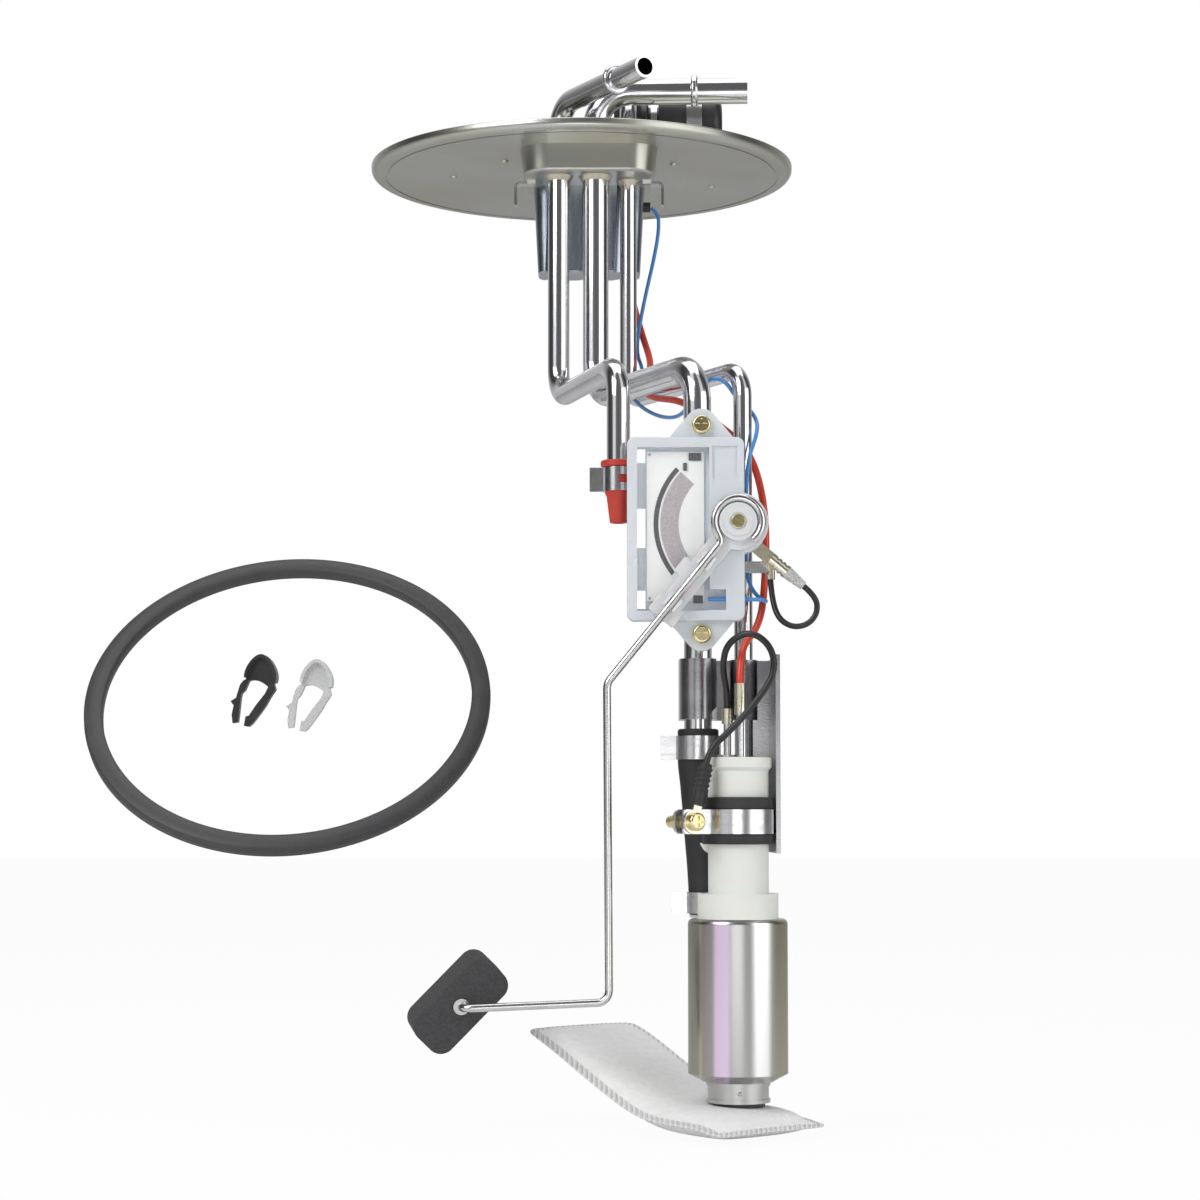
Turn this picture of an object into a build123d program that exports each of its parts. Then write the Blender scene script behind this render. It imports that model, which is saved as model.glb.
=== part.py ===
from build123d import *
import os
from math import atan2, cos, degrees, pi, radians, sin, sqrt, tan

# Hanging in-tank fuel pump module, in millimetres
# Origin: centre of the lid's seat face. +X right, +Y to the back, +Z up.

os.makedirs("parts", exist_ok=True)

# Lid
lid_r = 81.5
lid_sheet = 1.2
lid_rim_height = 4.0
lid_rim_bend_r = 2.4
coin_ring_r = 75.7
coin_ring_width = 1.2
coin_ring_depth = 0.3
well_x = 3.0
well_y = -33.5
well_length = 48.0
well_width = 48.0
well_depth = 10.0
well_corner_r = 9.0
well_draft = 8.0
nub_r = 1.5
nub_height = 0.8
nub_places = [(-49.4, -3.9), (-29.0, -30.0), (35.0, -25.3), (50.7, 13.5)]

# Tubes: outer radius, wall and bend radius of each
tube_wall = 0.9
tube_fit = 0.05
supply_r = 4.75
supply_bend_r = 13.0
return_r = 4.0
return_bend_r = 11.0
vapour_r = 3.175
vapour_bend_r = 9.5
supply_top = (5.5, -47.0)
return_top = (-8.2, -47.0)
vapour_top = (17.7, -39.0)
jog_z = -93.0
supply_low = (40.4, -123.0)
return_low = (13.4, -123.0)
vapour_low = (56.3, -115.0)
supply_head_z = 21.7
supply_tip = (61.9, -50.0)
supply_bead_back = 19.7
return_head_z = 16.6
return_tip = (23.0, -103.5)
return_bead_back = 20.8
bead_rise = 1.4
bead_width = 2.6
supply_foot_z = -238.0
vapour_foot_z = -262.0
vapour_elbow_z = 21.5
return_foot_z = -134.0
collar_rise = 1.4
collar_height = 1.8

# Connector cup under the lid
cup_x = 3.0
cup_y = -23.0
cup_length = 42.0
cup_width = 20.0
cup_corner_r = 6.0
cup_wall = 1.0
cup_lip = 1.4
cup_bottom_z = -43.0
cup_draft = 3.0
flute_r = 2.4
flute_pitch = 13.0
flute_count = 3
insulator_top_z = -24.0
insulator_height = 8.0
insulator_fit = 0.2
pin_pitch = 7.0
pin_count = 4
pin_width = 2.8
pin_thick = 0.8
pin_above = 10.0
pin_below = 4.0
grommet_wall = 1.2
grommet_lip = 0.8
tab_thick = 1.0
tab_width = 5.0
tab_reach = 4.0
tab_drop = 9.0
tab_bend_r = 2.2
tab_root = 4.0
tab_gap = 2.0

# Vent valve on the lid
valve_start_x = 13.0
valve_end_x = 54.5
valve_y = 2.0
valve_z = vapour_elbow_z
valve_r = 11.0
valve_head_r = 9.0
valve_head_length = 13.0
valve_neck_r = 7.0
valve_neck_length = 4.0
valve_cap_length = 8.0
valve_cap_round = 4.0
valve_ring_wall = 1.2
valve_ring_width = 2.4
strap_x = 43.5
strap_width = 6.0
strap_thick = 0.9
strap_foot = 7.0
vent_nipple_r = 3.1
vent_nipple_length = 8.0
vent_gap = 1.5
vent_hose_wall = 2.2
vent_hose_lap = 5.0

# Level sender
sender_left = 16.2
sender_right = 55.8
sender_top = -119.4
sender_bottom = -181.6
sender_corner_r = 2.6
sender_thick = 6.5
ear_x = 41.4
ear_reach = 4.4
ear_r = 5.6
ear_base = 22.0
ear_thick = 4.0
plate_thick = 1.2
plate_left = 27.0
plate_inset = 0.4
weld_width = 5.0
pocket_left = 19.6
pocket_right = 44.0
pocket_margin = 3.4
pocket_depth = 4.3
slot_width = 2.9
slot_heights = [5.0, 13.6, 6.4]
slot_places = [-125.3, -149.9, -174.2]
card_left = 22.9
card_right = 42.3
card_top = -124.0
card_bottom = -174.8
card_thick = 0.9
card_hole_r = 0.5
track_inner_r = 19.8
track_outer_r = 25.9
track_thick = 0.15
track_half_angle = 43.0
arc_width = 1.6
arc_gap = 0.7
relief_depth = 0.7
relief_width = 8.4
relief_height = 11.0
relief_top = -122.4
blue_tunnel_z = -174.2
pad_x = 40.2
window_left = 44.0
window_right = 49.5
window_top = -171.0
window_bottom = -178.0
pivot_x = 53.4
pivot_z = -148.6
lobe_r = 10.5
screw_r = 1.6
screw_fit = 0.1
screw_head_r = 3.2
screw_head_height = 2.2
screw_slot_width = 0.8
screw_slot_depth = 0.9
screw_tip_gap = 0.1

# Lever, float arm and float
running_gap = 0.3
shaft_fit = 0.05
pivot_r = 1.5
pivot_head_r = 2.4
pivot_head_height = 0.7
hub_base_r = 9.4
hub_base_thick = 3.0
hub_r = 6.4
hub_rise = 2.5
washer_outer_r = 5.0
washer_inner_r = 2.9
washer_thick = 0.4
lever_width = 7.8
lever_length = 41.5
lever_tip_width = 10.4
lever_tip_length = 6.5
lever_wing_reach = 2.6
lever_wing_at = 20.3
lever_wing_length = 6.0
clip_thick = 1.0
clip_length = 5.0
clip_places = [17.0, 35.0]
wiper_thick = 0.3
wiper_width = 2.2
wiper_inner = 19.4
wiper_length = 9.2
wiper_side = 4.9
wiper_gap = 0.1
wire_r = 1.35
wire_fit = 0.05
loop_r = 8.0
loop_start = -50.0
loop_end = 205.0
kink_r = 3.0
knee_r = 5.0
heel_r = 4.0
toe_r = 3.4
arm_knee = (9.4, -202.9)
arm_heel = (10.1, -308.5)
arm_toe = (-38.3, -310.6)
float_length = 34.6
float_width = 16.0
float_thick = 20.0
float_corner_r = 5.0
float_edge_r = 0.8
float_tilt = 45.0
float_axis = Vector(-0.18, 0.975, 0.12).normalized()
float_standoff = 3.7
retainer_r = 3.4
retainer_thick = 0.8
wire_stub = 2.0

# Sender terminals
ground_angle = -56.0
ground_turn = -40.0
ground_tab_width = 4.4
ground_tab_thick = 0.6
ground_tab_length = 6.0
ground_tab_inside = 4.0
crimp_r = 2.3
crimp_length = 7.0
crimp_groove = 0.35
sleeve_length = 7.5
sleeve_tip_r = 1.5
lug_z = -163.0
lug_y = -126.1
lug_x = 65.0
lug_length = 4.0
lug_wall = 0.6
pad_width = 3.2
pad_height = 2.6
pad_thick = 0.5

# Non-return valve on the return tube
valve_foot_z = -147.4
valve_top_z = -126.0
valve_flange_r = 6.1
valve_flange_height = 2.2
valve_wall = 0.6
valve_tip_r = 3.0
check_clamp_top_z = -128.4
check_clamp_height = 8.2
check_clamp_wall = 0.6
check_clamp_window = 2.8
check_tab_reach = 4.6

# Pump bracket
bracket_sheet = 1.5
bracket_top_z = -193.8
bracket_low_z = -214.4
bracket_foot_z = -259.3
bracket_side_reach = 41.0
bracket_chamfer = 3.0
bracket_strip = 9.0

# Outlet hose
hose_top_z = -217.6
hose_top_wall = 2.2
hose_low_r = 6.4
hose_foot_z = -279.8
outlet_x = 43.0
outlet_y = -133.0
outlet_r = 3.9
outlet_bore_r = 2.6
outlet_port_r = 1.6
outlet_boss_r = 6.0
outlet_top_z = -256.0
clamp_wall = 0.7
clamp_height = 8.0
clamp_upper_top_z = -220.0
clamp_lower_top_z = -272.4
clamp_lower_height = 7.0
clamp_ear_reach = 5.0
clamp_ear_width = 3.2

# Chamber above the pump
pump_x = 52.7
pump_y = -141.0
chamber_y = -147.5
collar_y = -144.2
chamber_r = 10.0
chamber_wall = 1.4
chamber_top_z = -232.2
cap_r = 11.1
cap_top_z = -227.8
cap_bevel = 1.2
collar_r = 13.3
collar_top_z = -272.5
isolator_top_z = -240.9
isolator_bottom_z = -256.3
isolator_wall = 1.3
isolator_bead = 0.6
band_top_z = -244.9
band_height = 8.0
band_wall = 0.9
band_ear_angle = 210.0
band_ear_length = 11.5
band_ear_thick = 1.0
band_gap = 3.4
clamp_screw_r = 2.0
clamp_screw_reach = 19.0
clamp_screw_length = 15.0
clamp_head_r = 3.0
clamp_head_height = 2.4
nut_width = 7.0
nut_height = 3.0
eyelet_r = 4.0
eyelet_thick = 0.8
eyelet_lean = 14.0
eyelet_neck = 5.5
boot_length = 14.0
boot_r = 2.1
boot_rib = 0.45
boot_rib_count = 5

# Pump terminals on the cap
post_r = 1.25
post_plus = (53.4, -148.5)
post_minus = (49.4, -143.0)
post_plus_top_z = -209.0
post_minus_top_z = -214.0
post_washer_r = 3.2
post_washer_thick = 1.0
terminal_r = 1.9
terminal_plus_top_z = -207.6
terminal_plus_length = 6.0
crimp_plus_length = 4.3
terminal_minus_length = 5.0

# Electric pump
can_r = 16.5
can_wall = 1.0
can_top_z = -280.9
can_wall_foot_z = -331.5
can_foot_z = -334.2
can_foot_r = 11.6
can_lip_r = 1.6
can_mouth_r = 13.6
neck_r = 10.6
neck_waist_r = 10.1
neck_wall = 1.2
neck_foot_z = -340.9
plug_foot_z = -288.0
part_fit = 0.05
magnet_inner_r = 11.2
magnet_top_z = -295.0
magnet_foot_z = -318.5
magnet_angle = 140.0
rotor_r = 10.3
rotor_top_z = -297.0
rotor_foot_z = -316.5
rotor_slots = 8
winding_r = 8.2
winding_length = 2.0
commutator_r = 5.0
commutator_length = 4.5
shaft_r = 1.5
shaft_top_z = -283.5
shaft_foot_z = -329.4
bearing_r = 3.6
bearing_length = 4.0
upper_plate_top_z = -319.4
upper_plate_foot_z = -323.6
impeller_r = 12.0
impeller_thick = 3.0
impeller_gap = 0.2
impeller_vanes = 24
vane_depth = 1.6
port_at = 9.4
channel_width = 2.6
channel_depth = 1.0
lower_plate_foot_z = -331.0
lower_rim_foot_z = -332.0
brush_width = 4.0
brush_height = 3.4
brush_length = 4.6
brush_wall = 1.1
brush_holder_reach = 14.8
spring_wire_r = 0.3
spring_r = 1.3
spring_turns = 5
ball_r = 2.0
ball_seat_z = -270.0
check_spring_wire_r = 0.18
check_spring_r = 1.5

# Strainer
sock_near_x = 64.15
sock_near_y = -161.5
sock_turn = 131.7
sock_length = 97.7
sock_width = 50.0
sock_corner_r = 5.0
sock_edge = 1.0
sock_weld = 2.5
sock_wall = 1.0
sock_margin = 5.0
sock_stations = (
    (0.0, -348.4, 1.0), (3.0, -348.3, 1.2), (8.0, -347.5, 7.6), (12.0, -346.9, 9.2),
    (23.0, -346.3, 9.4), (34.0, -345.9, 9.2), (45.0, -343.3, 9.0), (56.0, -338.4, 9.0),
    (68.0, -332.8, 9.6), (84.0, -325.0, 9.0),
    (92.0, -321.6, 5.4), (95.5, -320.3, 1.2), (97.7, -319.5, 1.0),
)
skeleton_thick = 1.2
skeleton_width = 16.0
skeleton_length = 32.0
skeleton_shift = 8.0
skeleton_leg = 2.0
skeleton_leg_height = 1.0
spigot_wall = 1.3
spigot_top_z = -336.0
flange_top_z = -343.8
flange_r = 10.2

# Loose kit
seal_centre = Vector(-113.0, 5.0, -202.6)
seal_normal = Vector(0, -0.744, 0.668)
seal_outer_r = 78.0
seal_inner_r = 70.6
seal_thick = 5.4
seal_round = 0.9
clip_depth = 5.0
hood_depth = 9.0
hood_thick = 1.2
black_clip_at = Vector(-126.0, 5.0, -198.5)
white_clip_at = Vector(-104.6, 5.0, -200.4)

# Leads: radius, and where the blue and red leave the cup
blue_r = 0.7
red_r = 1.25
ground_r = 1.1
jumper_r = 1.0
blue_exit_x = 26.2
blue_exit_y = -24.0
blue_exit_z = -16.5
red_exit_x = 18.2
red_exit_y = -24.5


def save(piece, name):
    """Label a finished piece and write its file."""
    piece.part.label = name
    export_step(piece.part, f"parts/{name}.step")


def smooth_path(points, radii):
    """Straight runs joined by tangent arcs, as one wire."""
    with BuildLine() as route:
        FilletPolyline(*points, radius=radii)
    return route.wire()


def start_plane(path):
    """Plane square to a path at its start."""
    return Plane(origin=path @ 0, z_dir=path % 0)


def front_plane(y):
    """Plane that faces the front, at a depth y."""
    return Plane(origin=(0, y, 0), x_dir=(1, 0, 0), z_dir=(0, -1, 0))




# Worked-out levels and places
well_floor_z = -well_depth
well_top_of_floor_z = well_floor_z + lid_sheet
supply_head = Vector(*supply_top, supply_head_z)
supply_end = Vector(*supply_tip, supply_head_z)
return_head = Vector(*return_top, return_head_z)
return_end = Vector(*return_tip, return_head_z)
vapour_head = Vector(*vapour_top, vapour_elbow_z)
vent_nipple_tip_y = valve_y - valve_head_r - vent_nipple_length
vapour_end = Vector(vapour_top[0], vent_nipple_tip_y - vent_gap, vapour_elbow_z)
supply_out = (supply_end - supply_head).normalized()
return_out = (return_end - return_head).normalized()
supply_bead_at = supply_end - supply_out * supply_bead_back
return_bead_at = return_end - return_out * return_bead_back

# Lid: pressed disc with a rolled rim and a well for the tubes and the connector
with BuildPart() as flange_plate:
    with BuildSketch(Plane.XZ) as lid_section:
        with BuildLine():
            Polyline(
                (0, 0),
                (lid_r, 0),
                (lid_r, lid_rim_height),
                (lid_r - lid_sheet, lid_rim_height),
                (lid_r - lid_sheet, lid_sheet),
                (0, lid_sheet),
                close=True,
            )
        make_face()
        outer_corner = lid_section.vertices().group_by(Axis.X)[-1].sort_by(Axis.Y)[0]
        fillet(outer_corner, radius=lid_rim_bend_r)
        inner_corner = lid_section.vertices().sort_by_distance((lid_r - lid_sheet, lid_sheet))[0]
        fillet(inner_corner, radius=lid_rim_bend_r - lid_sheet)
        lip_corners = lid_section.vertices().group_by(Axis.Y)[-1]
        fillet(lip_corners, radius=lid_sheet * 0.45)
    revolve(axis=Axis.Z)
    with BuildSketch(Plane.XY) as coin_ring:
        Circle(coin_ring_r + coin_ring_width / 2)
        Circle(coin_ring_r - coin_ring_width / 2, mode=Mode.SUBTRACT)
    extrude(amount=coin_ring_depth, mode=Mode.SUBTRACT)
    with BuildSketch(Plane.XY.offset(well_floor_z)):
        with Locations((well_x, well_y)):
            RectangleRounded(well_length, well_width, well_corner_r)
    extrude(amount=well_depth, taper=-well_draft)
    with BuildSketch(Plane.XY.offset(well_top_of_floor_z)):
        with Locations((well_x, well_y)):
            RectangleRounded(
                well_length - 2 * lid_sheet,
                well_width - 2 * lid_sheet,
                well_corner_r - lid_sheet,
            )
    extrude(amount=well_depth, taper=-well_draft, mode=Mode.SUBTRACT)
    well_edge = flange_plate.edges().group_by(Axis.Z)[0]
    fillet(well_edge, radius=lid_sheet)
    with BuildSketch(Plane.XY.offset(well_floor_z)):
        with Locations(supply_top):
            Circle(supply_r + tube_fit)
        with Locations(return_top):
            Circle(return_r + tube_fit)
        with Locations(vapour_top):
            Circle(vapour_r + tube_fit)
        with Locations((cup_x, cup_y)):
            RectangleRounded(
                cup_length + 2 * tube_fit, cup_width + 2 * tube_fit, cup_corner_r + tube_fit
            )
    extrude(amount=lid_sheet, mode=Mode.SUBTRACT)
    with BuildSketch(Plane.XY):
        with Locations(nub_places):
            Circle(nub_r)
    extrude(amount=-nub_height, taper=25)
save(flange_plate, "flange_plate")

# Braze rings round the tubes, under the well's floor
with BuildPart() as braze_collars:
    for place, outer_r in ((supply_top, supply_r), (return_top, return_r), (vapour_top, vapour_r)):
        with BuildSketch(Plane.XY.offset(well_floor_z)):
            with Locations(place):
                Circle(outer_r + collar_rise)
        extrude(amount=-collar_height, taper=30)
        with BuildSketch(Plane.XY.offset(well_floor_z)):
            with Locations(place):
                Circle(outer_r + tube_fit)
        extrude(amount=-collar_height, mode=Mode.SUBTRACT)
save(braze_collars, "braze_collars")

# Supply tube: from the lid's top, down, across the jog and down to the outlet hose
supply_path = smooth_path(
    [
        supply_end,
        supply_head,
        (*supply_top, jog_z),
        (*supply_low, jog_z),
        (*supply_low, supply_foot_z),
    ],
    [supply_bend_r, supply_bend_r, supply_bend_r],
)
with BuildPart() as supply_tube:
    with BuildSketch(start_plane(supply_path)):
        Circle(supply_r)
        Circle(supply_r - tube_wall, mode=Mode.SUBTRACT)
    sweep(path=supply_path)
    with BuildSketch(Plane(origin=supply_bead_at, z_dir=supply_out)):
        Circle(supply_r + bead_rise)
        Circle(supply_r - tube_wall / 2, mode=Mode.SUBTRACT)
    extrude(amount=bead_width / 2, both=True)
    bead_edges = supply_tube.edges().filter_by(
        lambda edge: edge.geom_type == GeomType.CIRCLE and edge.radius > supply_r + bead_rise / 2
        and edge.length > supply_r * 2 * 3
        and (edge.arc_center - supply_bead_at).length < bead_width
    )
    fillet(bead_edges, radius=bead_width * 0.4)
save(supply_tube, "supply_tube")

# Return tube: same jog, ends in the red non-return valve
return_path = smooth_path(
    [
        return_end,
        return_head,
        (*return_top, jog_z),
        (*return_low, jog_z),
        (*return_low, return_foot_z),
    ],
    [return_bend_r, return_bend_r, return_bend_r],
)
with BuildPart() as return_tube:
    with BuildSketch(start_plane(return_path)):
        Circle(return_r)
        Circle(return_r - tube_wall, mode=Mode.SUBTRACT)
    sweep(path=return_path)
    with BuildSketch(Plane(origin=return_bead_at, z_dir=return_out)):
        Circle(return_r + bead_rise)
        Circle(return_r - tube_wall / 2, mode=Mode.SUBTRACT)
    extrude(amount=bead_width / 2, both=True)
    bead_edges = return_tube.edges().filter_by(
        lambda edge: edge.geom_type == GeomType.CIRCLE and edge.radius > return_r + bead_rise / 2
        and edge.length > return_r * 2 * 3
        and (edge.arc_center - return_bead_at).length < bead_width
    )
    fillet(bead_edges, radius=bead_width * 0.4)
save(return_tube, "return_tube")

# Vapour tube: from the vent hose, down, across the jog and down behind the chamber
vapour_path = smooth_path(
    [
        vapour_end,
        vapour_head,
        (*vapour_top, jog_z),
        (*vapour_low, jog_z),
        (*vapour_low, vapour_foot_z),
    ],
    [vapour_bend_r, vapour_bend_r, vapour_bend_r],
)
with BuildPart() as vapour_tube:
    with BuildSketch(start_plane(vapour_path)):
        Circle(vapour_r)
        Circle(vapour_r - tube_wall, mode=Mode.SUBTRACT)
    sweep(path=vapour_path)
save(vapour_tube, "vapour_tube")


def cup_outline(inset):
    """Cup's plan outline, flutes and all, drawn inside by a given inset."""
    with Locations((cup_x, cup_y)):
        RectangleRounded(cup_length - 2 * inset, cup_width - 2 * inset, cup_corner_r - inset)
    flutes = [
        (cup_x + (step - (flute_count - 1) / 2) * flute_pitch, cup_y + side * cup_width / 2)
        for step in range(flute_count)
        for side in (-1, 1)
    ]
    with Locations(flutes):
        Circle(flute_r + inset, mode=Mode.SUBTRACT)


# Deep-drawn connector cup with upright flutes
cup_slope = tan(radians(cup_draft))
with BuildPart() as connector_cup:
    with BuildSketch(Plane.XY.offset(well_floor_z)):
        cup_outline(0)
    extrude(amount=cup_bottom_z - well_floor_z, taper=cup_draft)
    fillet(connector_cup.edges().group_by(Axis.Z)[0], radius=cup_wall * 0.9)
    with BuildSketch(Plane.XY.offset(well_floor_z)):
        cup_outline(0)
    extrude(amount=lid_sheet)
    with BuildSketch(Plane.XY.offset(well_top_of_floor_z)):
        with Locations((cup_x, cup_y)):
            RectangleRounded(
                cup_length + 2 * cup_lip, cup_width + 2 * cup_lip, cup_corner_r + cup_lip
            )
    extrude(amount=cup_wall)
    with BuildSketch(Plane.XY.offset(well_floor_z)):
        cup_outline(cup_wall)
    extrude(amount=cup_bottom_z - well_floor_z + cup_wall, taper=cup_draft, mode=Mode.SUBTRACT)
    with BuildSketch(Plane.XY.offset(well_floor_z)):
        cup_outline(cup_wall)
    extrude(amount=lid_sheet + cup_wall, mode=Mode.SUBTRACT)
    with BuildSketch(Plane.YZ.offset(cup_x + cup_length / 2)):
        with Locations((blue_exit_y, blue_exit_z)):
            Circle(blue_r + grommet_wall)
    extrude(amount=4 * cup_wall, both=True, mode=Mode.SUBTRACT)
    with BuildSketch(Plane.XY.offset(cup_bottom_z)):
        with Locations((red_exit_x, red_exit_y)):
            Circle(red_r + grommet_wall)
    extrude(amount=2 * cup_wall, both=True, mode=Mode.SUBTRACT)
save(connector_cup, "connector_cup")

# Insulating block in the cup, with a slot for each pin
insulator_foot_z = insulator_top_z - insulator_height
insulator_inset = cup_wall + insulator_fit + (well_floor_z - insulator_foot_z) * cup_slope
pin_places = [
    (cup_x - 4.0 + (step - (pin_count - 1) / 2) * pin_pitch, cup_y) for step in range(pin_count)
]
with BuildPart() as connector_insulator:
    with BuildSketch(Plane.XY.offset(insulator_foot_z)):
        cup_outline(insulator_inset)
    extrude(amount=insulator_height)
    with BuildSketch(Plane.XY.offset(insulator_foot_z)):
        with Locations(pin_places):
            Rectangle(pin_width, pin_thick)
    extrude(amount=insulator_height, mode=Mode.SUBTRACT)
save(connector_insulator, "connector_insulator")

with BuildPart() as connector_pins:
    with BuildSketch(Plane.XY.offset(insulator_foot_z - pin_below)):
        with Locations(pin_places):
            Rectangle(pin_width, pin_thick)
    extrude(amount=pin_below + insulator_height + pin_above)
save(connector_pins, "connector_pins")

# Grommets where the two leads leave the cup
with BuildPart() as lead_grommets:
    with BuildSketch(Plane.YZ.offset(blue_exit_x - grommet_lip)):
        with Locations((blue_exit_y, blue_exit_z)):
            Circle(blue_r + grommet_wall)
            Circle(blue_r, mode=Mode.SUBTRACT)
    extrude(amount=-3 * cup_wall)
    with BuildSketch(Plane.YZ.offset(blue_exit_x)):
        with Locations((blue_exit_y, blue_exit_z)):
            Circle(blue_r + grommet_wall)
            Circle(blue_r, mode=Mode.SUBTRACT)
    extrude(amount=-grommet_lip)
    with BuildSketch(Plane.XY.offset(cup_bottom_z + cup_wall)):
        with Locations((red_exit_x, red_exit_y)):
            Circle(red_r + grommet_wall)
            Circle(red_r, mode=Mode.SUBTRACT)
    extrude(amount=-cup_wall - grommet_lip)
save(lead_grommets, "lead_grommets")

# Bent tabs under the well that hold the leads
tab_y = cup_y - cup_width / 2 - tab_gap - tab_width / 2
with BuildPart() as wire_tabs:
    for side in (-1, 1):
        root_x = well_x + side * (well_length / 2 - tab_root)
        tip_x = well_x + side * (well_length / 2 + tab_reach)
        with BuildSketch(front_plane(tab_y)) as tab_section:
            with BuildLine():
                Polyline(
                    (root_x, well_floor_z),
                    (tip_x, well_floor_z),
                    (tip_x, well_floor_z - tab_drop),
                    (tip_x - side * tab_thick, well_floor_z - tab_drop),
                    (tip_x - side * tab_thick, well_floor_z - tab_thick),
                    (root_x, well_floor_z - tab_thick),
                    close=True,
                )
            make_face()
            bend = tab_section.vertices().sort_by_distance((tip_x, well_floor_z))[0]
            fillet(bend, radius=tab_bend_r)
            inner_bend = tab_section.vertices().sort_by_distance(
                (tip_x - side * tab_thick, well_floor_z - tab_thick)
            )[0]
            fillet(inner_bend, radius=tab_bend_r - tab_thick)
        extrude(amount=tab_width / 2, both=True)
save(wire_tabs, "wire_tabs")

# Vent valve on the lid: turned body with a neck for its ring clamp and a nipple
valve_neck_x = valve_start_x + valve_head_length
valve_body_x = valve_neck_x + valve_neck_length
valve_cap_x = valve_end_x - valve_cap_length
with BuildPart() as vent_valve_body:
    with BuildSketch(Plane.YZ.offset(valve_start_x)):
        with Locations((valve_y, valve_z)):
            Circle(valve_head_r)
    extrude(amount=valve_head_length)
    fillet(vent_valve_body.edges().filter_by(GeomType.CIRCLE), radius=1.5)
    with BuildSketch(Plane.YZ.offset(valve_neck_x)):
        with Locations((valve_y, valve_z)):
            Circle(valve_neck_r)
    extrude(amount=valve_neck_length)
    with BuildSketch(Plane.YZ.offset(valve_body_x)):
        with Locations((valve_y, valve_z)):
            Circle(valve_r)
    extrude(amount=valve_cap_x - valve_body_x)
    with BuildSketch(front_plane(valve_y)):
        with Locations((vapour_top[0], valve_z)):
            Circle(vent_nipple_r)
    extrude(amount=valve_head_r + vent_nipple_length)
    with BuildSketch(front_plane(vent_nipple_tip_y)):
        with Locations((vapour_top[0], valve_z)):
            Circle(vent_nipple_r - tube_wall)
    extrude(amount=-vent_nipple_length - valve_head_r / 2, mode=Mode.SUBTRACT)
    with BuildSketch(Plane.YZ.offset(valve_cap_x)):
        with Locations((valve_y, valve_z)):
            Circle(valve_r)
    extrude(amount=valve_cap_length)
    cap_end = vent_valve_body.edges().filter_by(GeomType.CIRCLE).sort_by(Axis.X)[-1]
    fillet(cap_end, radius=valve_cap_round)
save(vent_valve_body, "vent_valve_body")

with BuildPart() as vent_valve_ring:
    with BuildSketch(Plane.YZ.offset(valve_neck_x + (valve_neck_length - valve_ring_width) / 2)):
        with Locations((valve_y, valve_z)):
            Circle(valve_neck_r + tube_fit + valve_ring_wall)
            Circle(valve_neck_r + tube_fit, mode=Mode.SUBTRACT)
    extrude(amount=valve_ring_width)
save(vent_valve_ring, "vent_valve_ring")

# Strap over the valve, with a foot on the lid at each side
strap_outer_r = valve_r + tube_fit + strap_thick
with BuildPart() as valve_strap:
    with BuildSketch(Plane.YZ.offset(strap_x - strap_width / 2)):
        with Locations((valve_y, valve_z)):
            Circle(strap_outer_r)
        with Locations((valve_y, (valve_z + lid_sheet) / 2)):
            Rectangle(2 * strap_outer_r, valve_z - lid_sheet)
        with Locations((valve_y, lid_sheet)):
            Rectangle(
                2 * (strap_outer_r + strap_foot), strap_thick, align=(Align.CENTER, Align.MIN)
            )
        with Locations((valve_y, valve_z)):
            Circle(valve_r + tube_fit, mode=Mode.SUBTRACT)
        with Locations((valve_y, (valve_z + lid_sheet) / 2)):
            Rectangle(2 * (valve_r + tube_fit), valve_z - lid_sheet, mode=Mode.SUBTRACT)
    extrude(amount=strap_width)
save(valve_strap, "valve_strap")

# Short hose from the vapour tube to the valve's nipple
vent_hose_start_y = vapour_end.Y - vent_hose_lap
vent_hose_end_y = valve_y - valve_head_r - running_gap
with BuildPart() as vent_hose:
    with BuildSketch(front_plane(vent_hose_end_y)):
        with Locations((vapour_top[0], vapour_elbow_z)):
            Circle(vapour_r + tube_fit + vent_hose_wall)
            Circle(vapour_r + tube_fit, mode=Mode.SUBTRACT)
    extrude(amount=vent_hose_end_y - vent_hose_start_y)
    fillet(vent_hose.edges().filter_by(GeomType.CIRCLE), radius=0.4)
save(vent_hose, "vent_hose")

# Level sender, built up to the front from the supply tube
plate_back_y = supply_low[1] - supply_r
sender_back_y = plate_back_y - plate_thick
sender_front_y = sender_back_y - sender_thick
pocket_floor_y = sender_front_y + pocket_depth
card_front_y = pocket_floor_y - card_thick
ear_front_y = sender_back_y - ear_thick
ear_places = [(ear_x, sender_top + ear_reach), (ear_x, sender_bottom - ear_reach)]
sender_mid = ((sender_left + sender_right) / 2, (sender_top + sender_bottom) / 2)
pocket_mid = ((pocket_left + pocket_right) / 2, (sender_top + sender_bottom) / 2)
slot_x = pocket_left + slot_width / 2
pivot_at = Vector(pivot_x, pivot_z)


def ear_shape(place, edge_z, radius, base):
    """Ear with a round tip: its sides leave the edge and touch the tip's circle."""
    side = 1 if place[1] > edge_z else -1
    with Locations(place):
        Circle(radius)
    reach = abs(place[1] - edge_z)
    span = sqrt(reach**2 + (base / 2) ** 2)
    lean = atan2(reach, base / 2) + atan2(radius, sqrt(span**2 - radius**2))
    run = sqrt(span**2 - radius**2)
    touch_x = base / 2 - run * cos(lean)
    touch_z = edge_z + side * run * sin(lean)
    Polygon(
        (place[0] - base / 2, edge_z),
        (place[0] - touch_x, touch_z),
        (place[0] + touch_x, touch_z),
        (place[0] + base / 2, edge_z),
        align=None,
    )


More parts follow.
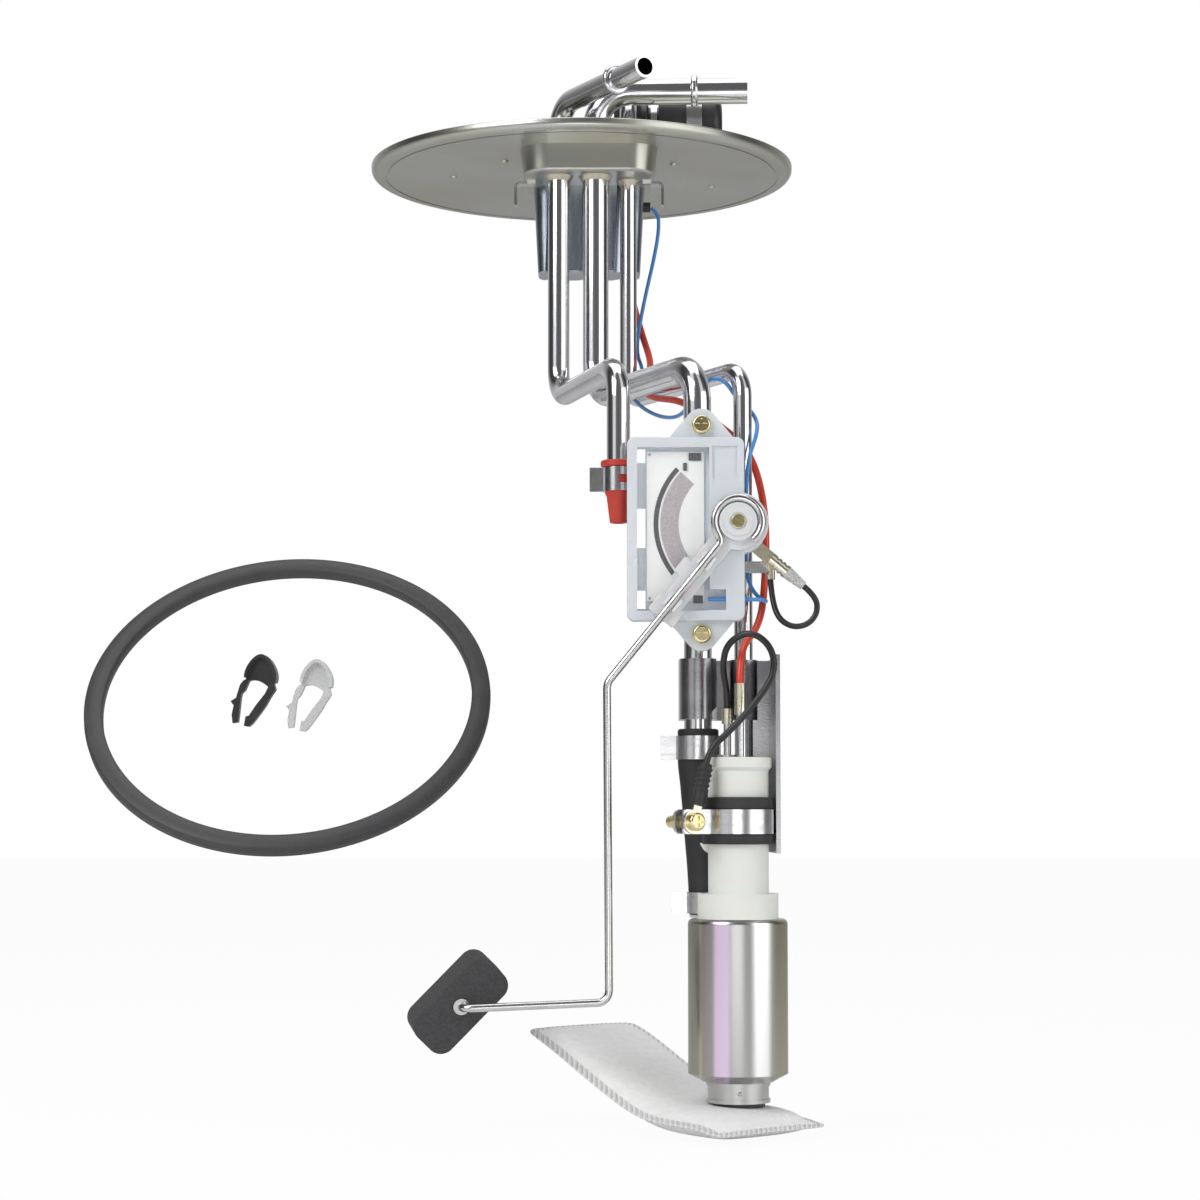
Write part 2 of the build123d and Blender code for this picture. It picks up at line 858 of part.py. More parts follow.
def wedge(radius, half_angle):
    """Cut a ring about the pivot down to the sector that faces the card."""
    reach = 2 * radius
    Polygon(
        (pivot_x, pivot_z),
        (pivot_x - reach * cos(radians(half_angle)), pivot_z + reach * sin(radians(half_angle))),
        (pivot_x - reach * cos(radians(half_angle)), pivot_z - reach * sin(radians(half_angle))),
        align=None,
        mode=Mode.INTERSECT,
    )


# Places of the sender's two leads
blue_tunnel_y = card_front_y - pad_thick - blue_r
ground_out = Vector(cos(radians(ground_turn)), 0, sin(radians(ground_turn)))
ground_root = Vector(
    pivot_x + (lobe_r - ground_tab_inside) * cos(radians(ground_angle)),
    (sender_back_y + sender_front_y + ground_tab_thick) / 2,
    pivot_z + (lobe_r - ground_tab_inside) * sin(radians(ground_angle)),
)
ground_plane = Plane(origin=ground_root, x_dir=ground_out, z_dir=(0, -1, 0))

# Sheet plate that carries the sender on the supply tube
with BuildPart() as sender_plate:
    with BuildSketch(front_plane(plate_back_y)):
        with Locations(((plate_left + sender_right - plate_inset) / 2, sender_mid[1])):
            RectangleRounded(
                sender_right - plate_inset - plate_left,
                sender_top - sender_bottom - 2 * plate_inset,
                sender_corner_r,
            )
        for place in ear_places:
            edge_z = sender_top if place[1] > sender_mid[1] else sender_bottom
            ear_shape(place, edge_z, ear_r - plate_inset, ear_base - 2 * plate_inset)
            with Locations(place):
                Circle(screw_r + shaft_fit, mode=Mode.SUBTRACT)
    extrude(amount=plate_thick)
    with BuildSketch(front_plane(plate_back_y)):
        with Locations((supply_low[0], sender_mid[1])):
            Rectangle(2 * supply_r, sender_top - sender_bottom - 2 * ear_reach)
    extrude(amount=-weld_width)
    with BuildSketch(Plane.XY.offset(sender_bottom - ear_reach)):
        with Locations(supply_low):
            Circle(supply_r + tube_fit)
    extrude(amount=sender_top - sender_bottom + 2 * ear_reach, mode=Mode.SUBTRACT)
    with BuildSketch(front_plane(plate_back_y)):
        with Locations((sender_right - plate_inset, lug_z)):
            Rectangle(2 * lug_length, lug_length, align=(Align.MIN, Align.CENTER))
    extrude(amount=plate_thick)
save(sender_plate, "sender_plate")

# White housing: tray with two ears, a round lobe for the pivot and a pocket for the card
with BuildPart() as sender_housing:
    with BuildSketch(front_plane(sender_back_y)):
        with Locations(sender_mid):
            RectangleRounded(
                sender_right - sender_left, sender_top - sender_bottom, sender_corner_r
            )
        with Locations((pivot_x, pivot_z)):
            Circle(lobe_r)
    extrude(amount=sender_thick)
    front_edges = sender_housing.edges().group_by(Axis.Y)[0]
    fillet(front_edges, radius=0.5)
    with BuildSketch(front_plane(sender_back_y)):
        for place in ear_places:
            edge_z = sender_top if place[1] > sender_mid[1] else sender_bottom
            ear_shape(place, edge_z, ear_r, ear_base)
    extrude(amount=ear_thick)
    with BuildSketch(front_plane(sender_front_y)):
        with Locations(pocket_mid):
            Rectangle(
                pocket_right - pocket_left, sender_top - sender_bottom - 2 * pocket_margin
            )
        with Locations(((window_left + window_right) / 2, (window_top + window_bottom) / 2)):
            Rectangle(window_right - window_left, window_top - window_bottom)
    extrude(amount=-pocket_depth, mode=Mode.SUBTRACT)
    with BuildSketch(front_plane(sender_front_y)):
        for place_z, height in zip(slot_places, slot_heights):
            with Locations((slot_x, place_z)):
                Rectangle(slot_width, height)
    extrude(amount=-sender_thick, mode=Mode.SUBTRACT)
    with BuildSketch(front_plane(sender_front_y)):
        with Locations((pocket_right + 1.0, relief_top)):
            Rectangle(relief_width, relief_height, align=(Align.MIN, Align.MAX))
    extrude(amount=-relief_depth, mode=Mode.SUBTRACT)
    with BuildSketch(front_plane(sender_back_y)):
        with Locations(ear_places):
            Circle(screw_r + screw_fit)
        with Locations((pivot_x, pivot_z)):
            Circle(pivot_r + tube_fit)
    extrude(amount=sender_thick, mode=Mode.SUBTRACT)
    with BuildSketch(Plane.YZ.offset(sender_right)):
        with Locations((blue_tunnel_y, blue_tunnel_z)):
            Circle(blue_r + tube_fit)
    extrude(amount=window_right - sender_right, mode=Mode.SUBTRACT)
    with BuildSketch(ground_plane):
        Rectangle(
            ground_tab_inside + ground_tab_length, ground_tab_width, align=(Align.MIN, Align.CENTER)
        )
    extrude(amount=ground_tab_thick, mode=Mode.SUBTRACT)
save(sender_housing, "sender_housing")

with BuildPart() as sender_screws:
    for place in ear_places:
        with BuildSketch(front_plane(plate_back_y - screw_tip_gap)):
            with Locations(place):
                Circle(screw_r)
        extrude(amount=plate_thick + ear_thick - screw_tip_gap)
        with BuildSketch(front_plane(ear_front_y)):
            with Locations(place):
                Circle(screw_head_r)
        extrude(amount=screw_head_height)
    head_rims = sender_screws.edges().group_by(Axis.Y)[0]
    fillet(head_rims, radius=0.9)
    with BuildSketch(front_plane(ear_front_y - screw_head_height)):
        with Locations(ear_places):
            Rectangle(screw_head_r * 1.25, screw_slot_width)
            Rectangle(screw_slot_width, screw_head_r * 1.25)
    extrude(amount=-screw_slot_depth, mode=Mode.SUBTRACT)
save(sender_screws, "sender_screws")

# Resistor card, its printed track, the dark contact arc and the soldered pads
card_mid = ((card_left + card_right) / 2, (card_top + card_bottom) / 2)
with BuildPart() as resistor_card:
    with BuildSketch(front_plane(pocket_floor_y)):
        with Locations(card_mid):
            Rectangle(card_right - card_left, card_top - card_bottom)
        with Locations(
            (card_left + 2 * card_hole_r, card_top - 2 * card_hole_r),
            (card_left + 2 * card_hole_r, card_bottom + 2 * card_hole_r),
        ):
            Circle(card_hole_r, mode=Mode.SUBTRACT)
    extrude(amount=card_thick)
save(resistor_card, "resistor_card")

with BuildPart() as resistor_track:
    with BuildSketch(front_plane(card_front_y)):
        with Locations((pivot_x, pivot_z)):
            Circle(track_outer_r)
            Circle(track_inner_r, mode=Mode.SUBTRACT)
        wedge(track_outer_r, track_half_angle)
    extrude(amount=track_thick)
save(resistor_track, "resistor_track")

with BuildPart() as card_contacts:
    with BuildSketch(front_plane(card_front_y)):
        with Locations((pivot_x, pivot_z)):
            Circle(track_outer_r + arc_gap + arc_width)
            Circle(track_outer_r + arc_gap, mode=Mode.SUBTRACT)
        wedge(track_outer_r, track_half_angle)
    extrude(amount=track_thick)
    with BuildSketch(front_plane(card_front_y)):
        with Locations((pad_x, blue_tunnel_z)):
            Rectangle(pad_width, pad_height)
        with Locations((card_right - 2 * pad_thick, card_top - pad_height / 2 - pad_thick)):
            Rectangle(pad_width + 1, pad_height, align=(Align.MAX, Align.CENTER))
        with Locations((card_right - 2 * pad_width, card_top - 2 * pad_height)):
            Rectangle(pad_thick * 2.6, pad_height)
    extrude(amount=pad_thick)
save(card_contacts, "card_contacts")

# Lever, wire arm and float turn on the pivot
hub_back_y = sender_front_y - running_gap
lever_front_y = hub_back_y - hub_base_thick
hub_front_y = lever_front_y - hub_rise
wire_y = lever_front_y - wire_r - wire_fit
arm_out = (Vector(*arm_knee) - pivot_at).normalized()
arm_side = Vector(arm_out.Y, -arm_out.X)
arm_angle = degrees(atan2(arm_out.Y, arm_out.X))
loop_normal = Vector(cos(radians(loop_end)), sin(radians(loop_end)))
kink_at = pivot_at + arm_out * (loop_r / arm_out.dot(loop_normal))


def on_arm(distance, aside=0.0):
    """Point on the lever: distance out from the pivot, then to its upper side."""
    return pivot_at + arm_out * distance + arm_side * aside


def loop_point(angle):
    """Point on the wire's loop round the hub."""
    turn = radians(angle)
    return Vector(pivot_x + loop_r * cos(turn), wire_y, pivot_z + loop_r * sin(turn))


with BuildPart() as pivot_pin:
    with BuildSketch(front_plane(sender_back_y)):
        with Locations((pivot_x, pivot_z)):
            Circle(pivot_r)
    extrude(amount=sender_back_y - hub_front_y + shaft_fit)
    with BuildSketch(front_plane(hub_front_y - shaft_fit)):
        with Locations((pivot_x, pivot_z)):
            Circle(pivot_head_r)
    extrude(amount=pivot_head_height)
    head_rim = pivot_pin.edges().group_by(Axis.Y)[0]
    fillet(head_rim, radius=0.3)
save(pivot_pin, "pivot_pin")

# White lever with its hub, a wing over the contacts and clips for the wire
with BuildPart() as lever:
    with BuildSketch(front_plane(hub_back_y)):
        with Locations((pivot_x, pivot_z)):
            Circle(hub_base_r)
            Rectangle(
                lever_length, lever_width, rotation=arm_angle, align=(Align.MIN, Align.CENTER)
            )
        with Locations(on_arm(lever_length - lever_tip_length)):
            Rectangle(
                lever_tip_length, lever_tip_width, rotation=arm_angle,
                align=(Align.MIN, Align.CENTER),
            )
        with Locations(on_arm(lever_wing_at + lever_wing_length / 2, lever_width / 2)):
            Rectangle(lever_wing_length, 2 * lever_wing_reach, rotation=arm_angle)
    extrude(amount=hub_base_thick)
    with BuildSketch(front_plane(lever_front_y)):
        with Locations((pivot_x, pivot_z)):
            Circle(hub_r)
    extrude(amount=hub_rise)
    with BuildSketch(front_plane(lever_front_y)):
        for place in clip_places:
            for side in (-1, 1):
                with Locations(on_arm(place, side * (wire_r + wire_fit + clip_thick / 2))):
                    Rectangle(clip_length, clip_thick, rotation=arm_angle)
    extrude(amount=2 * wire_r + wire_fit)
    with BuildSketch(front_plane(hub_back_y)):
        with Locations((pivot_x, pivot_z)):
            Circle(pivot_r + shaft_fit)
    extrude(amount=hub_back_y - hub_front_y, mode=Mode.SUBTRACT)
    with BuildSketch(front_plane(hub_front_y)):
        with Locations((pivot_x, pivot_z)):
            Circle(washer_outer_r)
            Circle(washer_inner_r, mode=Mode.SUBTRACT)
    extrude(amount=washer_thick)
    # Sprung contacts under the lever's wing: a strip and two feet just clear of the track
    with BuildSketch(front_plane(hub_back_y)):
        with Locations(on_arm(wiper_inner + wiper_length / 2, wiper_side)):
            Rectangle(wiper_length, wiper_width, rotation=arm_angle)
    extrude(amount=-wiper_thick)
    foot_reach = card_front_y - track_thick - wiper_gap - hub_back_y
    with BuildSketch(front_plane(hub_back_y)):
        for place in (wiper_inner + 1.0, wiper_inner + wiper_length - 1.0):
            with Locations(on_arm(place, wiper_side)):
                Rectangle(wiper_thick * 2, wiper_width, rotation=arm_angle)
    extrude(amount=-foot_reach)
save(lever, "lever")

# Spring-steel wire: loop round the hub, knee, heel, and a toe turned into the float
toe_at = Vector(arm_toe[0], wire_y, arm_toe[1])
wire_end = toe_at + float_axis * (float_standoff + float_thick + retainer_thick + wire_stub)
float_face = Plane(
    origin=toe_at + float_axis * float_standoff,
    x_dir=Vector(cos(radians(float_tilt)), 0, sin(radians(float_tilt))).cross(float_axis).cross(float_axis),
    z_dir=float_axis,
)
with BuildPart() as float_arm:
    with BuildLine() as wire_route:
        ThreePointArc(
            loop_point(loop_start), loop_point((loop_start + loop_end) / 2), loop_point(loop_end)
        )
        FilletPolyline(
            loop_point(loop_end),
            (kink_at.X, wire_y, kink_at.Y),
            (arm_knee[0], wire_y, arm_knee[1]),
            (arm_heel[0], wire_y, arm_heel[1]),
            toe_at,
            wire_end,
            radius=[kink_r, knee_r, heel_r, toe_r],
        )
    with BuildSketch(start_plane(wire_route.wire())):
        Circle(wire_r)
    sweep(path=wire_route.wire())
    # Two push-on retainers, one on each side of the float
    with BuildSketch(float_face.offset(-running_gap)):
        Circle(retainer_r * 0.8)
        Circle(wire_r, mode=Mode.SUBTRACT)
    extrude(amount=-retainer_thick / 2)
    with BuildSketch(float_face.offset(float_thick + running_gap)):
        Circle(retainer_r)
        Circle(wire_r, mode=Mode.SUBTRACT)
    extrude(amount=retainer_thick)
save(float_arm, "float_arm")

# Float: rounded slab that swivels on the toe between two push-on retainers
with BuildPart() as float_body:
    with BuildSketch(float_face):
        RectangleRounded(float_length, float_width, float_corner_r)
    extrude(amount=float_thick)
    rims = float_body.edges().filter_by(lambda edge: abs((edge @ 0 - edge @ 1).dot(float_axis)) < 0.01)
    fillet(rims, radius=float_edge_r)
    with BuildSketch(float_face):
        Circle(wire_r + shaft_fit)
    extrude(amount=float_thick, mode=Mode.SUBTRACT)
save(float_body, "float")

# Sender's ground terminal, its clear sleeve and the lug it feeds
with BuildPart() as ground_terminal:
    with BuildSketch(ground_plane):
        Rectangle(
            ground_tab_inside + ground_tab_length + 1, ground_tab_width,
            align=(Align.MIN, Align.CENTER),
        )
    extrude(amount=ground_tab_thick)
    barrel_start = ground_root + ground_out * (ground_tab_inside + ground_tab_length)
    with BuildSketch(Plane(origin=barrel_start - Vector(0, ground_tab_thick / 2, 0), z_dir=ground_out)):
        Circle(crimp_r)
    extrude(amount=crimp_length)
    for step in range(3):
        groove_at = barrel_start + ground_out * crimp_length * (step + 1) / 4
        with BuildSketch(Plane(origin=groove_at - Vector(0, ground_tab_thick / 2, 0), z_dir=ground_out)):
            Circle(crimp_r)
            Circle(crimp_r - crimp_groove, mode=Mode.SUBTRACT)
        extrude(amount=crimp_length / 9, mode=Mode.SUBTRACT)
save(ground_terminal, "ground_terminal")

sleeve_start = barrel_start + ground_out * crimp_length - Vector(0, ground_tab_thick / 2, 0)
sleeve_end = sleeve_start + ground_out * sleeve_length
with BuildPart() as terminal_sleeve:
    with BuildSketch(Plane(origin=sleeve_start, z_dir=ground_out)):
        Circle(crimp_r)
    with BuildSketch(Plane(origin=sleeve_end, z_dir=ground_out)):
        Circle(sleeve_tip_r)
    loft()
save(terminal_sleeve, "terminal_sleeve")

# Red non-return valve on the return tube
clamp_seat_r = return_r + tube_fit + valve_wall
with BuildPart() as return_check_valve:
    with BuildSketch(Plane(origin=(*return_low, 0), x_dir=(1, 0, 0), z_dir=(0, -1, 0))):
        with BuildLine():
            Polyline(
                (return_r + tube_fit, valve_top_z),
                (valve_flange_r, valve_top_z),
                (valve_flange_r, valve_top_z - valve_flange_height),
                (clamp_seat_r, valve_top_z - valve_flange_height),
                (clamp_seat_r, check_clamp_top_z - check_clamp_height - valve_wall),
                (clamp_seat_r - valve_wall, check_clamp_top_z - check_clamp_height - 3 * valve_wall),
                (valve_tip_r, valve_foot_z),
                (valve_tip_r - 2 * valve_wall, valve_foot_z),
                (clamp_seat_r - 3 * valve_wall, return_foot_z - tube_fit),
                (return_r + tube_fit, return_foot_z - tube_fit),
                close=True,
            )
        make_face()
    revolve(axis=Axis((*return_low, 0), (0, 0, 1)))
save(return_check_valve, "return_check_valve")

with BuildPart() as check_valve_clamp:
    with BuildSketch(Plane.XY.offset(check_clamp_top_z)):
        with Locations(return_low):
            Circle(clamp_seat_r + tube_fit + check_clamp_wall)
        with Locations((return_low[0] - clamp_seat_r, return_low[1])):
            Rectangle(
                check_tab_reach + check_clamp_wall, 2 * check_clamp_wall,
                align=(Align.MAX, Align.CENTER),
            )
        with Locations(return_low):
            Circle(clamp_seat_r + tube_fit, mode=Mode.SUBTRACT)
    extrude(amount=-check_clamp_height)
    with BuildSketch(front_plane(return_low[1])):
        with Locations((return_low[0] + clamp_seat_r / 2, check_clamp_top_z - check_clamp_height / 2)):
            Rectangle(clamp_seat_r, check_clamp_window)
    extrude(amount=2 * clamp_seat_r, mode=Mode.SUBTRACT)
save(check_valve_clamp, "check_valve_clamp")

# Pump bracket: folded sheet round both tubes, with a side flange for the band clamp
band_inner_r = chamber_r + isolator_wall + 2 * tube_fit
band_outer_r = band_inner_r + band_wall
side_x = pump_x + band_outer_r
web_front_y = vapour_low[1] + vapour_r + tube_fit
web_back_y = web_front_y + bracket_sheet
supply_wrap_r = supply_r + tube_fit + bracket_sheet
with BuildPart() as pump_bracket:
    with BuildSketch(Plane.XY.offset(bracket_low_z)):
        with Locations((supply_low[0] - supply_wrap_r, web_back_y)):
            Rectangle(
                side_x + bracket_sheet - supply_low[0] + supply_wrap_r, bracket_sheet,
                align=(Align.MIN, Align.MAX),
            )
        for place, outer_r in ((supply_low, supply_r), (vapour_low, vapour_r)):
            with Locations(place):
                Circle(outer_r + tube_fit + bracket_sheet)
                Rectangle(
                    2 * (outer_r + tube_fit + bracket_sheet), web_back_y - place[1],
                    align=(Align.CENTER, Align.MIN),
                )
                Circle(outer_r + tube_fit, mode=Mode.SUBTRACT)
                Rectangle(
                    2 * (outer_r + tube_fit), web_front_y - place[1],
                    align=(Align.CENTER, Align.MIN), mode=Mode.SUBTRACT,
                )
    extrude(amount=bracket_top_z - bracket_low_z)
    with BuildSketch(Plane.XY.offset(bracket_foot_z)):
        with Locations((side_x + bracket_sheet, web_back_y)):
            Rectangle(bracket_strip, bracket_sheet, align=(Align.MAX, Align.MAX))
    extrude(amount=bracket_low_z - bracket_foot_z)
    with BuildSketch(Plane.XY.offset(bracket_foot_z)):
        with Locations((side_x, web_back_y)):
            Rectangle(bracket_sheet, bracket_side_reach, align=(Align.MIN, Align.MAX))
    extrude(amount=bracket_top_z - bracket_foot_z)
    with BuildSketch(front_plane(supply_low[1])):
        with Locations((supply_low[0] + supply_wrap_r, bracket_low_z)):
            Rectangle(2 * bracket_chamfer, 2 * bracket_chamfer, rotation=45)
    extrude(amount=2 * supply_wrap_r, mode=Mode.SUBTRACT)
save(pump_bracket, "pump_bracket")

# Outlet hose from the supply tube to the pump's outlet
hose_top_r = supply_r + tube_fit + hose_top_wall
hose_clamp_foot_z = clamp_upper_top_z - clamp_height
outlet_at = (outlet_x, outlet_y)
with BuildPart() as outlet_hose:
    with BuildSketch(Plane.XY.offset(hose_top_z)):
        with Locations(supply_low):
            Circle(hose_top_r)
    extrude(amount=hose_clamp_foot_z - hose_top_z)
    with BuildSketch(Plane.XY.offset(hose_clamp_foot_z)):
        with Locations(supply_low):
            Circle(hose_top_r)
    with BuildSketch(Plane.XY.offset(clamp_lower_top_z)):
        with Locations(outlet_at):
            Circle(hose_low_r)
    loft()
    with BuildSketch(Plane.XY.offset(clamp_lower_top_z)):
        with Locations(outlet_at):
            Circle(hose_low_r)
    extrude(amount=hose_foot_z - clamp_lower_top_z)
    with BuildSketch(Plane.XY.offset(hose_top_z)):
        with Locations(supply_low):
            Circle(supply_r + tube_fit)
    extrude(amount=supply_foot_z - hose_top_z, mode=Mode.SUBTRACT)
    with BuildSketch(Plane.XY.offset(supply_foot_z)):
        with Locations(supply_low):
            Circle(supply_r + tube_fit)
    with BuildSketch(Plane.XY.offset(outlet_top_z)):
        with Locations(outlet_at):
            Circle(outlet_r + tube_fit)
    loft(mode=Mode.SUBTRACT)
    with BuildSketch(Plane.XY.offset(outlet_top_z)):
        with Locations(outlet_at):
            Circle(outlet_r + tube_fit)
    extrude(amount=hose_foot_z - outlet_top_z, mode=Mode.SUBTRACT)
save(outlet_hose, "outlet_hose")

# Ear clamps on the hose: a ring with a pinched loop at its left
with BuildPart() as hose_clamps:
    for place, hose_r, top_z, height in (
        (supply_low, hose_top_r, clamp_upper_top_z, clamp_height),
        (outlet_at, hose_low_r, clamp_lower_top_z, clamp_lower_height),
    ):
        with BuildSketch(Plane.XY.offset(top_z)):
            with Locations(place):
                Circle(hose_r + tube_fit + clamp_wall)
            with Locations((place[0] - hose_r, place[1])):
                Rectangle(
                    clamp_ear_reach + clamp_wall, clamp_ear_width, align=(Align.MAX, Align.CENTER)
                )
                Rectangle(
                    clamp_ear_reach, clamp_ear_width - 2 * clamp_wall,
                    align=(Align.MAX, Align.CENTER), mode=Mode.SUBTRACT,
                )
            with Locations(place):
                Circle(hose_r + tube_fit, mode=Mode.SUBTRACT)
        extrude(amount=-height)
save(hose_clamps, "hose_clamps")

# Chamber above the pump: cap, body and the rubber isolator under the band
chamber_at = (pump_x, chamber_y)
with BuildPart() as chamber_cap:
    with BuildSketch(Plane.XY.offset(chamber_top_z)):
        with Locations(chamber_at):
            Circle(cap_r)
    extrude(amount=cap_top_z - chamber_top_z)
    chamfer(chamber_cap.edges().group_by(Axis.Z)[0], length=cap_bevel)
    fillet(chamber_cap.edges().group_by(Axis.Z)[-1], radius=0.4)
    with BuildSketch(Plane.XY.offset(chamber_top_z)):
        with Locations(post_plus, post_minus):
            Circle(post_r + tube_fit)
    extrude(amount=cap_top_z - chamber_top_z, mode=Mode.SUBTRACT)
save(chamber_cap, "chamber_cap")

with BuildPart() as chamber_body:
    with BuildSketch(Plane.XY.offset(collar_top_z)):
        with Locations(chamber_at):
            Circle(chamber_r)
    extrude(amount=chamber_top_z - collar_top_z)
    with BuildSketch(Plane.XY.offset(collar_top_z + chamber_wall)):
        with Locations(chamber_at):
            Circle(chamber_r - chamber_wall)
    extrude(amount=chamber_top_z - collar_top_z, mode=Mode.SUBTRACT)
save(chamber_body, "chamber_body")

isolator_out_r = chamber_r + tube_fit + isolator_wall
with BuildPart() as isolator:
    with BuildSketch(Plane.XY.offset(isolator_bottom_z)):
        with Locations(chamber_at):
            Circle(isolator_out_r + isolator_bead)
            Circle(chamber_r + tube_fit, mode=Mode.SUBTRACT)
    extrude(amount=isolator_top_z - isolator_bottom_z)
    with BuildSketch(Plane.XY.offset(band_top_z - band_height - tube_fit)):
        with Locations(chamber_at):
            Circle(isolator_out_r + 2 * isolator_bead)
            Circle(isolator_out_r, mode=Mode.SUBTRACT)
    extrude(amount=band_height + 2 * tube_fit, mode=Mode.SUBTRACT)
    fillet(isolator.edges().filter_by(GeomType.CIRCLE).group_by(Axis.Z)[0], radius=0.3)
    fillet(isolator.edges().filter_by(GeomType.CIRCLE).group_by(Axis.Z)[-1], radius=0.3)
save(isolator, "isolator")

# Band clamp with two ears, its screw and nut
ear_out = Vector(cos(radians(band_ear_angle)), sin(radians(band_ear_angle)), 0)
head_out = Vector(-ear_out.Y, ear_out.X, 0)
band_centre = Vector(*chamber_at, band_top_z - band_height / 2)
screw_at = band_centre + ear_out * clamp_screw_reach
ear_outer = band_gap / 2 + band_ear_thick
with BuildPart() as band_clamp:
    with BuildSketch(Plane.XY.offset(band_top_z - band_height)):
        with Locations(chamber_at):
            Circle(band_outer_r)
            Rectangle(
                band_inner_r + band_ear_length, 2 * ear_outer, rotation=band_ear_angle,
                align=(Align.MIN, Align.CENTER),
            )
            Rectangle(
                band_inner_r + band_ear_length, band_gap, rotation=band_ear_angle,
                align=(Align.MIN, Align.CENTER), mode=Mode.SUBTRACT,
            )
            Circle(band_inner_r, mode=Mode.SUBTRACT)
    extrude(amount=band_height)
    ear_corners = band_clamp.edges().filter_by(
        lambda edge: abs((edge @ 0 - edge @ 1).dot(head_out)) > band_ear_thick * 0.9
        and (edge @ 0.5 - band_centre).dot(ear_out) > band_outer_r + band_ear_length * 0.7
    )
    fillet(ear_corners, radius=1.5)
    with BuildSketch(Plane(origin=screw_at, z_dir=head_out)):
        Circle(clamp_screw_r + screw_fit)
    extrude(amount=2 * ear_outer, both=True, mode=Mode.SUBTRACT)
save(band_clamp, "band_clamp")

head_seat = screw_at + head_out * (ear_outer + eyelet_thick)
nut_seat = screw_at - head_out * ear_outer
with BuildPart() as clamp_fastener:
    with BuildSketch(Plane(origin=head_seat, z_dir=head_out)):
        Circle(clamp_screw_r)
    extrude(amount=-clamp_screw_length)
    with BuildSketch(Plane(origin=head_seat, z_dir=head_out)):
        Circle(clamp_head_r)
    extrude(amount=clamp_head_height)
    head_rim = clamp_fastener.edges().sort_by(Axis(tuple(head_seat), tuple(head_out)))[-1]
    fillet(head_rim, radius=1.0)
    with BuildSketch(Plane(origin=head_seat + head_out * clamp_head_height, z_dir=head_out)):
        Rectangle(clamp_head_r * 1.25, screw_slot_width)
        Rectangle(screw_slot_width, clamp_head_r * 1.25)
    extrude(amount=-screw_slot_depth, mode=Mode.SUBTRACT)
    with BuildSketch(Plane(origin=nut_seat, z_dir=head_out)):
        RegularPolygon(nut_width / 2, 6, major_radius=False)
        Circle(clamp_screw_r, mode=Mode.SUBTRACT)
    extrude(amount=-nut_height)
save(clamp_fastener, "clamp_fastener")

# Eyelet under the screw's head and the ribbed boot on its lead
lean = radians(eyelet_lean)
eyelet_up = Vector(0, 0, 1) * cos(lean) - ear_out * sin(lean)
eyelet_plane = Plane(origin=screw_at + head_out * ear_outer, x_dir=eyelet_up, z_dir=head_out)
boot_foot = screw_at + head_out * (ear_outer + eyelet_thick / 2) + eyelet_up * eyelet_neck
boot_top = boot_foot + eyelet_up * boot_length
with BuildPart() as ground_eyelet:
    with BuildSketch(eyelet_plane):
        Circle(eyelet_r)
        Rectangle(eyelet_neck + 1.0, boot_r * 1.4, align=(Align.MIN, Align.CENTER))
        Circle(clamp_screw_r + screw_fit, mode=Mode.SUBTRACT)
    extrude(amount=eyelet_thick)
save(ground_eyelet, "ground_eyelet")

with BuildPart() as eyelet_boot:
    with BuildSketch(Plane(origin=boot_foot, z_dir=eyelet_up)):
        Circle(boot_r)
    extrude(amount=boot_length)
    for step in range(boot_rib_count):
        rib_at = boot_foot + eyelet_up * boot_length * (0.35 + 0.55 * step / boot_rib_count)
        with BuildSketch(Plane(origin=rib_at, z_dir=eyelet_up)):
            Circle(boot_r + boot_rib)
        extrude(amount=boot_rib * 2)
    with BuildSketch(eyelet_plane):
        Rectangle(eyelet_neck + 1.0, boot_r * 1.4, align=(Align.MIN, Align.CENTER))
    extrude(amount=eyelet_thick, mode=Mode.SUBTRACT)
save(eyelet_boot, "eyelet_boot")

# Pump's two posts on the cap, and the terminals that the leads end in
with BuildPart() as pump_posts:
    for place, top_z in ((post_plus, post_plus_top_z), (post_minus, post_minus_top_z)):
        with BuildSketch(Plane.XY.offset(chamber_top_z)):
            with Locations(place):
                Circle(post_r)
        extrude(amount=top_z - chamber_top_z)
    with BuildSketch(Plane.XY.offset(cap_top_z)):
        with Locations(post_minus):
            Circle(post_washer_r)
    extrude(amount=post_washer_thick)
save(pump_posts, "pump_posts")

